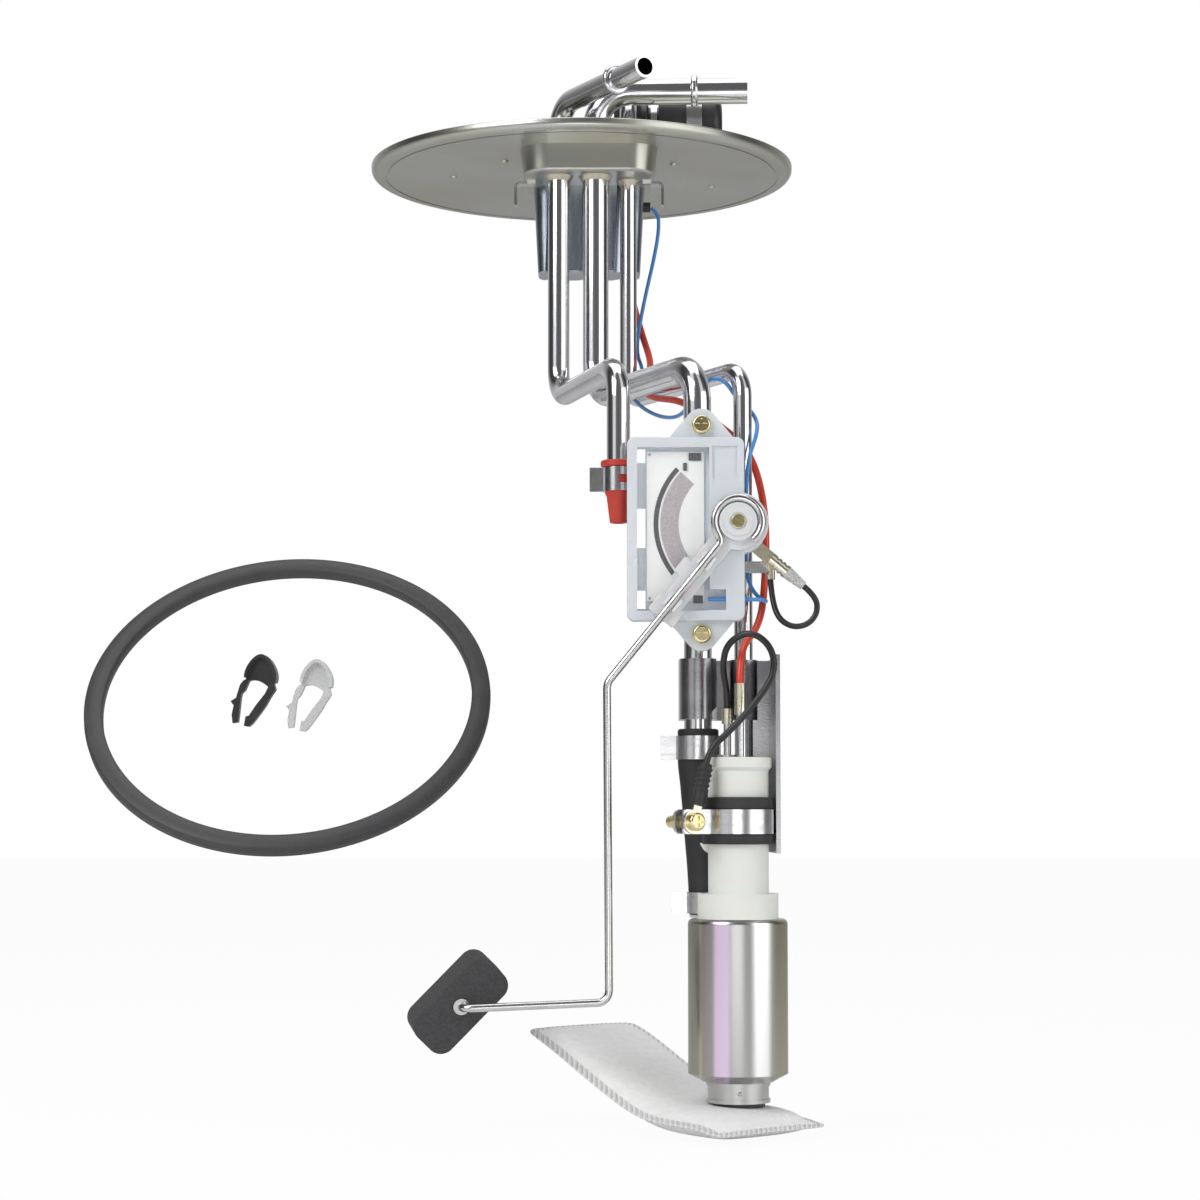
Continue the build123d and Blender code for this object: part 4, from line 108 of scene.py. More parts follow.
@dataclass(frozen=True)
class Finish:
    """One surface finish, built once as a node material.

    Attributes:
        name: Name of the material.
        colour: Main colour.
        shade: Second colour that the pattern brings in.
        roughness: Mean roughness.
        rough_spread: How far the pattern moves the roughness.
        metallic: Share of metal.
        pattern: Kind of pattern for the colour.
        scale: Pattern's scale, per metre.
        contrast: Share of the second colour at the pattern's peaks.
        bump: Height of the fine relief, in metres.
        bump_scale: Relief's scale, per metre.
        bump_pattern: Kind of pattern for the relief.
        subsurface: Share of light that scatters inside.
        transmission: Share of light that passes through.
        sheen: Strength of the fibre sheen.
        coat: Strength of the clear coat.
        stretch: Pattern's stretch along X, Y and Z.
        painted_light_bands: Place along X in millimetres and colour of each upright band, if any:
            the thing's own grey with painted highlight, painted reflection and painted edge shade
            between.
    """

    name: str
    colour: Point
    shade: Point
    roughness: float = 0.4
    rough_spread: float = 0.08
    metallic: float = 0.0
    pattern: Texture = Texture.NOISE
    scale: float = 60.0
    contrast: float = 0.5
    bump: float = 0.00002
    bump_scale: float = 900.0
    bump_pattern: Texture = Texture.NOISE
    subsurface: float = 0.0
    transmission: float = 0.0
    sheen: float = 0.0
    coat: float = 0.0
    stretch: Point = (1.0, 1.0, 1.0)
    painted_light_bands: tuple[tuple[float, Point], ...] = ()

    def build(self) -> bpy.types.Material:
        """Make the material, or give back the one already made.

        Returns:
            The node material of this finish.
        """
        made = bpy.data.materials.get(self.name)
        if made is not None:
            return made
        material = bpy.data.materials.new(self.name)
        material.use_nodes = True
        nodes = material.node_tree.nodes
        links = material.node_tree.links
        shader = nodes["Principled BSDF"]
        shader.inputs["Metallic"].default_value = self.metallic
        shader.inputs["Subsurface Weight"].default_value = self.subsurface
        shader.inputs["Subsurface Scale"].default_value = SCATTER_DEPTH
        shader.inputs["Transmission Weight"].default_value = self.transmission
        shader.inputs["Sheen Weight"].default_value = self.sheen
        shader.inputs["Coat Weight"].default_value = self.coat
        place = nodes.new("ShaderNodeTexCoord")
        mapping = nodes.new("ShaderNodeMapping")
        mapping.inputs["Scale"].default_value = self.stretch
        links.new(place.outputs["Object"], mapping.inputs["Vector"])
        pattern = nodes.new(self.pattern.value)
        pattern.inputs["Scale"].default_value = self.scale
        links.new(mapping.outputs["Vector"], pattern.inputs["Vector"])
        ramp = nodes.new("ShaderNodeMapRange")
        ramp.inputs["From Min"].default_value = PATTERN_LOW
        ramp.inputs["From Max"].default_value = PATTERN_HIGH
        ramp.inputs["To Max"].default_value = self.contrast
        links.new(pattern.outputs[0], ramp.inputs["Value"])
        mix = nodes.new("ShaderNodeMix")
        mix.data_type = "RGBA"
        mix.inputs[MIX_FIRST].default_value = (*self.colour, 1.0)
        mix.inputs[MIX_SECOND].default_value = (*self.shade, 1.0)
        # Upright bands of painted highlight, painted reflection and painted edge shade take the
        # place of the first colour.
        if self.painted_light_bands:
            links.new(self.paint_light_bands(nodes, links, place), mix.inputs[MIX_FIRST])
        links.new(ramp.outputs["Result"], mix.inputs[MIX_FACTOR])
        links.new(mix.outputs[MIX_RESULT], shader.inputs["Base Color"])
        rough = nodes.new("ShaderNodeMapRange")
        rough.inputs["To Min"].default_value = self.roughness - self.rough_spread
        rough.inputs["To Max"].default_value = self.roughness + self.rough_spread
        links.new(pattern.outputs[0], rough.inputs["Value"])
        links.new(rough.outputs["Result"], shader.inputs["Roughness"])
        relief = nodes.new(self.bump_pattern.value)
        relief.inputs["Scale"].default_value = self.bump_scale
        links.new(mapping.outputs["Vector"], relief.inputs["Vector"])
        bump = nodes.new("ShaderNodeBump")
        bump.inputs["Distance"].default_value = self.bump
        links.new(relief.outputs[0], bump.inputs["Height"])
        links.new(bump.outputs["Normal"], shader.inputs["Normal"])
        return material

    def paint_light_bands(
        self, nodes: bpy.types.Nodes, links: bpy.types.NodeLinks, place: bpy.types.Node
    ) -> bpy.types.NodeSocket:
        """Upright bands of painted highlight, painted reflection and painted edge shade over the
        own colour, placed by the object's own X.

        Args:
            nodes: Nodes of the material.
            links: Links of the material.
            place: Node that gives the object's coordinates.

        Returns:
            The colour output.
        """
        split = nodes.new("ShaderNodeSeparateXYZ")
        links.new(place.outputs["Object"], split.inputs["Vector"])
        across = nodes.new("ShaderNodeMapRange")
        first, last = self.painted_light_bands[0][0], self.painted_light_bands[-1][0]
        across.inputs["From Min"].default_value = first * MM
        across.inputs["From Max"].default_value = last * MM
        links.new(split.outputs["X"], across.inputs["Value"])
        ramp = nodes.new("ShaderNodeValToRGB")
        fill_ramp(ramp, [((at - first) / (last - first), colour) for at, colour in self.painted_light_bands])
        links.new(across.outputs["Result"], ramp.inputs["Fac"])
        return ramp.outputs["Color"]


ZINC_LID = Finish(
    "zinc_lid", (0.52, 0.53, 0.50), (0.44, 0.42, 0.33), 0.30, 0.10, 1.0, scale=14, contrast=0.8,
    bump=0.00001, bump_scale=260,
)
CUP_STEEL = Finish(
    "drawn_cup_steel", (0.40, 0.44, 0.50), (0.55, 0.56, 0.58), 0.24, 0.08, 1.0, scale=40,
    stretch=(6, 6, 0.6),
)
TUBE_PLATE = Finish(
    "bright_tube_plating", (0.80, 0.80, 0.81), (0.62, 0.63, 0.66), 0.13, 0.05, 1.0, scale=45,
    bump=0.000006, bump_scale=420,
)
BRAZE = Finish("braze_fillet", (0.62, 0.58, 0.48), (0.45, 0.40, 0.33), 0.38, 0.1, 1.0, scale=300)
DARK_SHEET = Finish(
    "dark_plated_sheet", (0.34, 0.34, 0.35), (0.52, 0.52, 0.53), 0.22, 0.08, 1.0, scale=30,
    stretch=(1, 1, 4),
)
BRIGHT_STEEL = Finish(
    "bright_band_steel", (0.74, 0.74, 0.75), (0.55, 0.55, 0.56), 0.2, 0.08, 1.0, scale=80,
    stretch=(1, 1, 8),
)
SPRING_WIRE = Finish("spring_steel_wire", (0.72, 0.72, 0.72), (0.50, 0.49, 0.47), 0.2, 0.06, 1.0)
YELLOW_BRASS = Finish(
    "yellow_brass", (0.80, 0.70, 0.40), (0.62, 0.50, 0.26), 0.24, 0.08, 1.0, scale=200
)
TINNED_BRASS = Finish(
    "tinned_brass", (0.80, 0.76, 0.62), (0.66, 0.58, 0.38), 0.26, 0.08, 1.0, scale=200
)
CAN_SATIN_PAINTED_LIGHT = Finish(
    "can_satin_grey_painted_light", (0.60, 0.59, 0.57), (0.50, 0.48, 0.46), 0.28, 0.05, 1.0, scale=18,
    contrast=0.3, stretch=(1, 1, 0.2), bump=0.000006,
    # Upright bands over the can's grey: painted shade at both edges, a painted gold glint line, a
    # painted pink reflection and a painted white highlight.
    painted_light_bands=(
        (36.2, (0.30, 0.30, 0.22)), (39.2, (0.42, 0.41, 0.35)), (39.9, (0.66, 0.58, 0.44)),
        (40.8, (0.42, 0.41, 0.38)), (43.6, (0.46, 0.45, 0.44)), (44.6, (0.86, 0.66, 0.88)),
        (48.4, (0.84, 0.68, 0.90)), (49.6, (0.44, 0.44, 0.43)), (56.0, (0.50, 0.50, 0.49)),
        (58.0, (0.92, 0.91, 0.92)), (61.6, (0.90, 0.89, 0.90)), (63.2, (0.44, 0.44, 0.40)),
        (67.0, (0.44, 0.42, 0.30)), (69.2, (0.30, 0.30, 0.18)),
    ),
)
COLLAR_SATIN = Finish("collar_satin", (0.62, 0.62, 0.60), (0.48, 0.48, 0.47), 0.32, 0.06, 1.0)
HOUSING_WHITE = Finish(
    "sender_housing_white", (0.78, 0.82, 0.86), (0.69, 0.74, 0.79), 0.28, 0.04, subsurface=0.35,
    transmission=0.08, scale=50, coat=0.2,
)
LEVER_WHITE = Finish(
    "lever_natural_white", (0.84, 0.85, 0.86), (0.74, 0.76, 0.78), 0.3, 0.05, subsurface=0.4,
    transmission=0.12, coat=0.2,
)
CARD_CERAMIC = Finish("card_ceramic", (0.93, 0.93, 0.92), (0.87, 0.88, 0.88), 0.5, scale=200)
TRACK_INK = Finish(
    "speckled_track_ink", (0.40, 0.36, 0.38), (0.58, 0.55, 0.56), 0.55, scale=2600, contrast=0.9,
    bump_scale=2600,
)
ARC_INK = Finish("dark_contact_ink", (0.10, 0.10, 0.11), (0.18, 0.18, 0.18), 0.5, scale=900)
MODULE_PLASTIC = Finish(
    "greenish_white_plastic", (0.83, 0.84, 0.79), (0.74, 0.76, 0.70), 0.42, subsurface=0.3,
    scale=60,
)
BLACK_RUBBER = Finish(
    "black_rubber", (0.018, 0.018, 0.019), (0.05, 0.05, 0.05), 0.55, 0.12, scale=160, bump=0.00004,
    bump_scale=1400,
)
HOSE_RUBBER = Finish(
    "matte_hose_rubber", (0.014, 0.014, 0.015), (0.045, 0.045, 0.045), 0.68, 0.12, scale=220,
    bump=0.00006, bump_scale=1100, stretch=(1, 1, 0.3),
)
RED_RUBBER = Finish(
    "red_valve_rubber", (0.58, 0.045, 0.025), (0.42, 0.03, 0.02), 0.42, 0.08, scale=150
)
BLACK_PLASTIC = Finish(
    "black_plastic", (0.02, 0.02, 0.022), (0.05, 0.05, 0.05), 0.35, 0.1, scale=90
)
NATURAL_PLASTIC = Finish(
    "natural_clip_plastic", (0.66, 0.67, 0.66), (0.54, 0.55, 0.54), 0.3, scale=90, coat=0.3,
)
SEAL_RUBBER = Finish(
    "grey_seal_rubber", (0.05, 0.05, 0.053), (0.07, 0.07, 0.073), 0.5, 0.1, scale=120, bump=0.00004,
)
SOCK_FELT = Finish(
    "sock_felt", (0.97, 0.97, 0.97), (0.88, 0.88, 0.87), 0.9, 0.05, scale=420, contrast=0.7,
    bump=0.00025, bump_scale=1700, sheen=0.4,
)
SOCK_WELD = Finish(
    "sock_weld", (0.93, 0.93, 0.92), (0.72, 0.73, 0.72), 0.7, 0.05, pattern=Texture.WAVES,
    scale=190, contrast=0.9, bump=0.0005, bump_scale=190, bump_pattern=Texture.WAVES,
)
FLOAT_FOAM = Finish(
    "float_foam", (0.05, 0.05, 0.052), (0.075, 0.075, 0.08), 0.85, 0.1,
    pattern=Texture.CELLS, scale=900, contrast=0.6, bump=0.0002, bump_scale=1100,
    bump_pattern=Texture.CELLS,
)
RED_WIRE = Finish(
    "red_insulation", (0.72, 0.055, 0.02), (0.60, 0.04, 0.015), 0.32, 0.05, scale=70, coat=0.3
)
BLUE_WIRE = Finish(
    "blue_insulation", (0.07, 0.30, 0.70), (0.05, 0.23, 0.58), 0.32, 0.05, scale=70, coat=0.3
)
BLACK_WIRE = Finish(
    "black_insulation", (0.015, 0.015, 0.016), (0.03, 0.03, 0.03), 0.3, 0.05, scale=70
)
BRAID_CLEAR = Finish(
    "clear_braid", (0.80, 0.82, 0.80), (0.55, 0.57, 0.52), 0.25, 0.05, pattern=Texture.CELLS,
    scale=900, contrast=0.8, transmission=0.45, bump=0.0003, bump_scale=900,
    bump_pattern=Texture.CELLS,
)
FERRITE = Finish("ferrite", (0.06, 0.06, 0.065), (0.1, 0.1, 0.1), 0.6)
CARBON = Finish("carbon", (0.03, 0.03, 0.03), (0.06, 0.06, 0.06), 0.6)
COPPER_CORE = Finish(
    "copper_and_core", (0.45, 0.30, 0.20), (0.30, 0.28, 0.27), 0.4, 0.1, 0.9, scale=300
)


@dataclass(frozen=True)
class SubAssembly:
    """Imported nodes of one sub-assembly, with the finish of each.

    Attributes:
        name: Name of the sub-assembly.
        finishes: Each finish with the nodes that have it.
    """

    name: str
    finishes: dict[Finish, tuple[str, ...]]

    def dress(self) -> None:
        """Give every node its finish in its own material slot."""
        for finish, names in self.finishes.items():
            for name in names:
                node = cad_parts[name]
                material = finish.build()
                if not node.material_slots:
                    node.data.materials.append(material)
                for slot in node.material_slots:
                    slot.material = material
                log.info("%s: dressed %s in %s", self.name, name, finish.name)


SUB_ASSEMBLIES: tuple[SubAssembly, ...] = (
    SubAssembly("lid", {
        ZINC_LID: ("flange_plate",),
        BRAZE: ("braze_collars",),
        CUP_STEEL: ("connector_cup",),
        BLACK_PLASTIC: ("connector_insulator",),
        TINNED_BRASS: ("connector_pins",),
        BRIGHT_STEEL: ("wire_tabs",),
        BLACK_RUBBER: ("lead_grommets",),
    }),
    SubAssembly("tubes", {
        TUBE_PLATE: ("supply_tube", "return_tube", "vapour_tube"),
        RED_RUBBER: ("return_check_valve",),
        BRIGHT_STEEL: ("check_valve_clamp",),
    }),
    SubAssembly("vent valve", {
        BLACK_PLASTIC: ("vent_valve_body",),
        BRIGHT_STEEL: ("vent_valve_ring", "valve_strap"),
        HOSE_RUBBER: ("vent_hose",),
    }),
    SubAssembly("level sender", {
        BRIGHT_STEEL: ("sender_plate",),
        HOUSING_WHITE: ("sender_housing",),
        YELLOW_BRASS: ("sender_screws", "pivot_pin"),
        CARD_CERAMIC: ("resistor_card",),
        TRACK_INK: ("resistor_track",),
        ARC_INK: ("card_contacts",),
        LEVER_WHITE: ("lever",),
        SPRING_WIRE: ("float_arm",),
        FLOAT_FOAM: ("float",),
        TINNED_BRASS: ("ground_terminal",),
        BRAID_CLEAR: ("terminal_sleeve",),
    }),
    SubAssembly("pump carrier", {
        DARK_SHEET: ("pump_bracket",),
        HOSE_RUBBER: ("outlet_hose",),
        BRIGHT_STEEL: ("hose_clamps", "band_clamp"),
        MODULE_PLASTIC: ("chamber_cap", "chamber_body"),
        BLACK_RUBBER: ("isolator", "eyelet_boot"),
        YELLOW_BRASS: ("clamp_fastener",),
        TINNED_BRASS: ("ground_eyelet", "lead_terminals"),
    }),
    SubAssembly("pump", {
        BRIGHT_STEEL: ("pump_posts", "check_ball"),
        MODULE_PLASTIC: ("pump_end_cap",),
        SPRING_WIRE: ("check_spring",),
        CAN_SATIN_PAINTED_LIGHT: ("pump_can",),
        COLLAR_SATIN: ("inlet_collar", "pump_plates"),
        FERRITE: ("magnets",),
        COPPER_CORE: ("rotor",),
        TINNED_BRASS: ("bearings",),
        CARBON: ("brushes",),
        BLACK_PLASTIC: ("impeller", "sock_frame"),
        SOCK_FELT: ("strainer_sock",),
    }),
    SubAssembly("leads", {
        RED_WIRE: ("red_lead",),
        BLUE_WIRE: ("blue_lead",),
        BLACK_WIRE: ("ground_lead", "jumper_lead"),
    }),
    SubAssembly("loose kit", {
        SEAL_RUBBER: ("seal_ring",),
        BLACK_PLASTIC: ("black_clip",),
        NATURAL_PLASTIC: ("white_clip",),
    }),
)


def deselect() -> None:
    """Leave edit mode and clear the selection."""
    if bpy.context.object and bpy.context.object.mode != "OBJECT":
        bpy.ops.object.mode_set(mode="OBJECT")
    bpy.ops.object.select_all(action="DESELECT")


def settle(piece: bpy.types.Object) -> None:
    """Apply a piece's place, so that its object sits at the origin.

    Args:
        piece: The object.
    """
    deselect()
    piece.select_set(True)
    bpy.context.view_layer.objects.active = piece
    bpy.ops.object.transform_apply(location=True, rotation=True, scale=True)


def finish_piece(
    piece: bpy.types.Object,
    name: str,
    finish: Finish,
    nodes: Iterable[str],
    body: Body = Body.MODULE,
    angle: float = SMOOTH_ANGLE,
) -> bpy.types.Object:
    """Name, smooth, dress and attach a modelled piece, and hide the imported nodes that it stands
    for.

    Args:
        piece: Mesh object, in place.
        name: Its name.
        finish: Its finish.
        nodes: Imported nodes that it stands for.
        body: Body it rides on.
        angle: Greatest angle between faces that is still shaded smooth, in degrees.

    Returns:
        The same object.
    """
    settle(piece)
    piece.name = name
    piece.data.name = name
    bpy.ops.object.shade_smooth_by_angle(angle=math.radians(angle))
    piece.data.materials.clear()
    piece.data.materials.append(finish.build())
    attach(piece, body.value)
    named = list(nodes)
    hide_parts(*named)
    log.info("made %s, %d faces", name, len(piece.data.polygons))
    return piece


def turned(rings: Sequence[Ring], sides: int = 96) -> bpy.types.Object:
    """Model a closed turned or drawn form by extruding a circle ring by ring.

    Args:
        rings: Radius, then centre x, y and z of each ring, in millimetres, inside to outside
            and back, so that the last ring meets the first.
        sides: Vertices round each ring.

    Returns:
        The mesh object, still active.
    """
    deselect()
    radius, x, y, z = rings[0]
    bpy.ops.mesh.primitive_circle_add(
        vertices=sides, radius=radius * MM, location=metres((x, y, z))
    )
    piece = bpy.context.object
    bpy.ops.object.mode_set(mode="EDIT")
    bpy.ops.mesh.select_all(action="SELECT")
    for before, ring in zip(rings, rings[1:]):
        step = metres(ring[1:]) - metres(before[1:])
        bpy.ops.mesh.extrude_edges_move(TRANSFORM_OT_translate={"value": step})
        share = ring[0] / before[0]
        bpy.ops.transform.resize(value=(share, share, share), center_override=metres(ring[1:]))
    bpy.ops.mesh.select_all(action="SELECT")
    bpy.ops.mesh.remove_doubles(threshold=SAME_PLACE)
    bpy.ops.mesh.normals_make_consistent(inside=False)
    bpy.ops.object.mode_set(mode="OBJECT")
    return piece


def upright(x: float, y: float, profile: Sequence[tuple[float, float]]) -> list[Ring]:
    """Rings of a form turned about an upright axis.

    Args:
        x: Axis place along X.
        y: Axis place along Y.
        profile: Radius and height of each ring.

    Returns:
        The rings, with the first one again at the end.
    """
    rings = [(radius, x, y, z) for radius, z in profile]
    return rings + rings[:1]


def turn_to(piece: bpy.types.Object, origin: Vector, axis: Vector) -> None:
    """Turn a form modelled about Z so that it stands along another axis.

    Args:
        piece: The object.
        origin: Where the form's own origin goes.
        axis: Direction that its Z takes.
    """
    turn = axis.to_track_quat("Z", "Y").to_matrix().to_4x4()
    piece.matrix_world = Matrix.Translation(origin) @ turn @ piece.matrix_world
    settle(piece)


@dataclass(frozen=True)
class Lamp:
    """One square area lamp.

    Attributes:
        name: Its name.
        at: Its place, in millimetres.
        size: Length of its side, in metres.
        power: Its power, in watts.
    """

    name: str
    at: Point
    size: float
    power: float

    def build(self, aim: Point) -> None:
        """Hang the lamp and point it.

        Args:
            aim: Point that it faces, in millimetres.
        """
        deselect()
        bpy.ops.object.light_add(type="AREA", location=metres(self.at))
        lamp = bpy.context.object
        lamp.name = self.name
        lamp.data.size = self.size
        lamp.data.energy = self.power
        way = metres(aim) - lamp.location
        lamp.rotation_euler = way.to_track_quat("-Z", "Y").to_euler()


@dataclass
class Studio:
    """Camera, lamps, world and floor.

    Attributes:
        eye: Camera's place, in millimetres.
        focal_pixels: Focal length in pixels of the frame.
        frame_pixels: Pixels across the frame.
        sensor: Sensor's width, in millimetres.
        tilt: How far the camera looks up, in degrees.
        near: Nearest distance that the camera sees, in metres.
        surround: Place round the horizon from 0 to 1 and level of each stop of the surround. The
            middle is in front of the object, and two bright cards stand beside it.
        surround_strength: Strength of the surround.
        aim: Point that the lamps face, in millimetres.
        lamps: The lamps.
        floor_z: Floor's height, in millimetres.
        floor_size: Floor's width, in metres.
        floor_grey: Floor's own colour.
        floor_rough: Floor's roughness.
        floor_glow: Share of plain white that the camera sees on the floor.
    """

    eye: Point = (7.1, -1078.3, -247.2)
    focal_pixels: float = 2813.6
    frame_pixels: float = 1200.0
    sensor: float = 36.0
    tilt: float = 4.4
    near: float = 0.01
    surround: tuple[tuple[float, float], ...] = (
        (0.0, 0.9), (0.10, 0.6), (0.20, 0.05), (0.33, 0.10), (0.355, 1.0), (0.41, 1.0),
        (0.435, 0.20), (0.50, 0.14), (0.575, 0.20), (0.60, 1.0), (0.65, 1.0), (0.675, 0.16),
        (0.78, 0.05), (0.90, 0.6), (1.0, 0.9),
    )
    surround_strength: float = 0.8
    aim: Point = (20, -60, -180)
    lamps: tuple[Lamp, ...] = (
        Lamp("key_lamp", (-700, -800, 500), 0.7, 6.5),
        Lamp("fill_lamp", (800, -600, -50), 0.8, 2.6),
        Lamp("top_lamp", (0, 50, 700), 0.8, 3.0),
        Lamp("low_lamp", (0, -700, -330), 0.3, 0.5),
    )
    floor_z: float = -352.5
    floor_size: float = 12.0
    floor_grey: float = 0.93
    floor_rough: float = 0.8
    floor_glow: float = 0.95

    def camera(self) -> None:
        """Stand the camera at the photograph's place, looking slightly up."""
        deselect()
        turn = (math.radians(90 + self.tilt), 0, 0)
        bpy.ops.object.camera_add(location=metres(self.eye), rotation=turn)
        camera = bpy.context.object
        camera.name = "photo_camera"
        camera.data.sensor_width = self.sensor
        camera.data.lens = self.sensor * self.focal_pixels / self.frame_pixels
        camera.data.clip_start = self.near
        camera.data.dof.use_dof = False
        bpy.context.scene.camera = camera

    def world(self) -> None:
        """Soft surround with two bright cards in front, white to the camera."""
        world = bpy.data.worlds.new("soft_surround")
        bpy.context.scene.world = world
        world.use_nodes = True
        nodes = world.node_tree.nodes
        links = world.node_tree.links
        out = nodes["World Output"]
        back = nodes["Background"]
        place = nodes.new("ShaderNodeTexCoord")
        split = nodes.new("ShaderNodeSeparateXYZ")
        links.new(place.outputs["Generated"], split.inputs["Vector"])
        bearing = nodes.new("ShaderNodeMath")
        bearing.operation = "ARCTAN2"
        links.new(split.outputs["X"], bearing.inputs[0])
        away = nodes.new("ShaderNodeMath")
        away.operation = "MULTIPLY"
        away.inputs[1].default_value = -1.0
        links.new(split.outputs["Y"], away.inputs[0])
        links.new(away.outputs[0], bearing.inputs[1])
        spread = nodes.new("ShaderNodeMapRange")
        spread.inputs["From Min"].default_value = -math.pi
        spread.inputs["From Max"].default_value = math.pi
        links.new(bearing.outputs[0], spread.inputs["Value"])
        ramp = nodes.new("ShaderNodeValToRGB")
        fill_ramp(ramp, [(at, (level, level, level * 1.01)) for at, level in self.surround])
        links.new(spread.outputs["Result"], ramp.inputs["Fac"])
        links.new(ramp.outputs["Color"], back.inputs["Color"])
        back.inputs["Strength"].default_value = self.surround_strength
        white = nodes.new("ShaderNodeBackground")
        white.inputs["Color"].default_value = WHITE
        path = nodes.new("ShaderNodeLightPath")
        either = nodes.new("ShaderNodeMath")
        either.operation = "MAXIMUM"
        links.new(path.outputs["Is Camera Ray"], either.inputs[0])
        links.new(path.outputs["Is Transmission Ray"], either.inputs[1])
        pick = nodes.new("ShaderNodeMixShader")
        links.new(either.outputs[0], pick.inputs["Fac"])
        links.new(back.outputs["Background"], pick.inputs[1])
        links.new(white.outputs["Background"], pick.inputs[2])
        links.new(pick.outputs["Shader"], out.inputs["Surface"])

    def floor(self) -> None:
        """Pale floor just under the strainer, white where the camera looks."""
        deselect()
        place = (0, 0, self.floor_z * MM)
        bpy.ops.mesh.primitive_plane_add(size=self.floor_size, location=place)
        floor = bpy.context.object
        floor.name = "pale_floor"
        material = bpy.data.materials.new("pale_floor")
        material.use_nodes = True
        nodes = material.node_tree.nodes
        links = material.node_tree.links
        shader = nodes["Principled BSDF"]
        grey = self.floor_grey
        shader.inputs["Base Color"].default_value = (grey, grey, grey, 1.0)
        shader.inputs["Roughness"].default_value = self.floor_rough
        path = nodes.new("ShaderNodeLightPath")
        glow = nodes.new("ShaderNodeEmission")
        glow.inputs["Color"].default_value = WHITE
        share = nodes.new("ShaderNodeMath")
        share.operation = "MULTIPLY"
        share.inputs[1].default_value = self.floor_glow
        links.new(path.outputs["Is Camera Ray"], share.inputs[0])
        pick = nodes.new("ShaderNodeMixShader")
        links.new(share.outputs[0], pick.inputs["Fac"])
        links.new(shader.outputs["BSDF"], pick.inputs[1])
        links.new(glow.outputs["Emission"], pick.inputs[2])
        links.new(pick.outputs["Shader"], nodes["Material Output"].inputs["Surface"])
        floor.data.materials.append(material)

    def build(self) -> None:
        """Set up the whole studio."""
        bpy.context.scene.view_settings.view_transform = "Standard"
        self.camera()
        self.world()
        for lamp in self.lamps:
            lamp.build(self.aim)
        self.floor()
        log.info("studio ready")


@dataclass
class Lead:
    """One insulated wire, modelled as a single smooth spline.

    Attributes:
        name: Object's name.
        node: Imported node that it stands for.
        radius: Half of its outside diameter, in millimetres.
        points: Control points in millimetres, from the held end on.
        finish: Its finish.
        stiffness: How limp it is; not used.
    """

    name: str
    node: str
    radius: float
    points: Sequence[Point]
    finish: Finish
    stiffness: str = "limp"

    def build(self) -> bpy.types.Object:
        """Returns:
            The curve object.
        """
        deselect()
        bpy.ops.curve.primitive_nurbs_path_add(location=(0, 0, 0))
        wire = bpy.context.object
        wire.name = self.name
        wire.data.name = self.name
        wire.data.splines.clear()
        spline = wire.data.splines.new("NURBS")
        spline.points.add(len(self.points) - 1)
        for place, point in zip(spline.points, self.points):
            place.co = (*metres(point), 1.0)
        spline.order_u = 3
        spline.use_endpoint_u = True
        spline.resolution_u = CURVE_STEPS
        wire.data.dimensions = "3D"
        wire.data.bevel_depth = self.radius * MM
        wire.data.bevel_resolution = BEVEL_STEPS
        wire.data.use_fill_caps = True
        wire.data.materials.append(self.finish.build())
        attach(wire, Body.MODULE.value)
        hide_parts(self.node)
        return wire


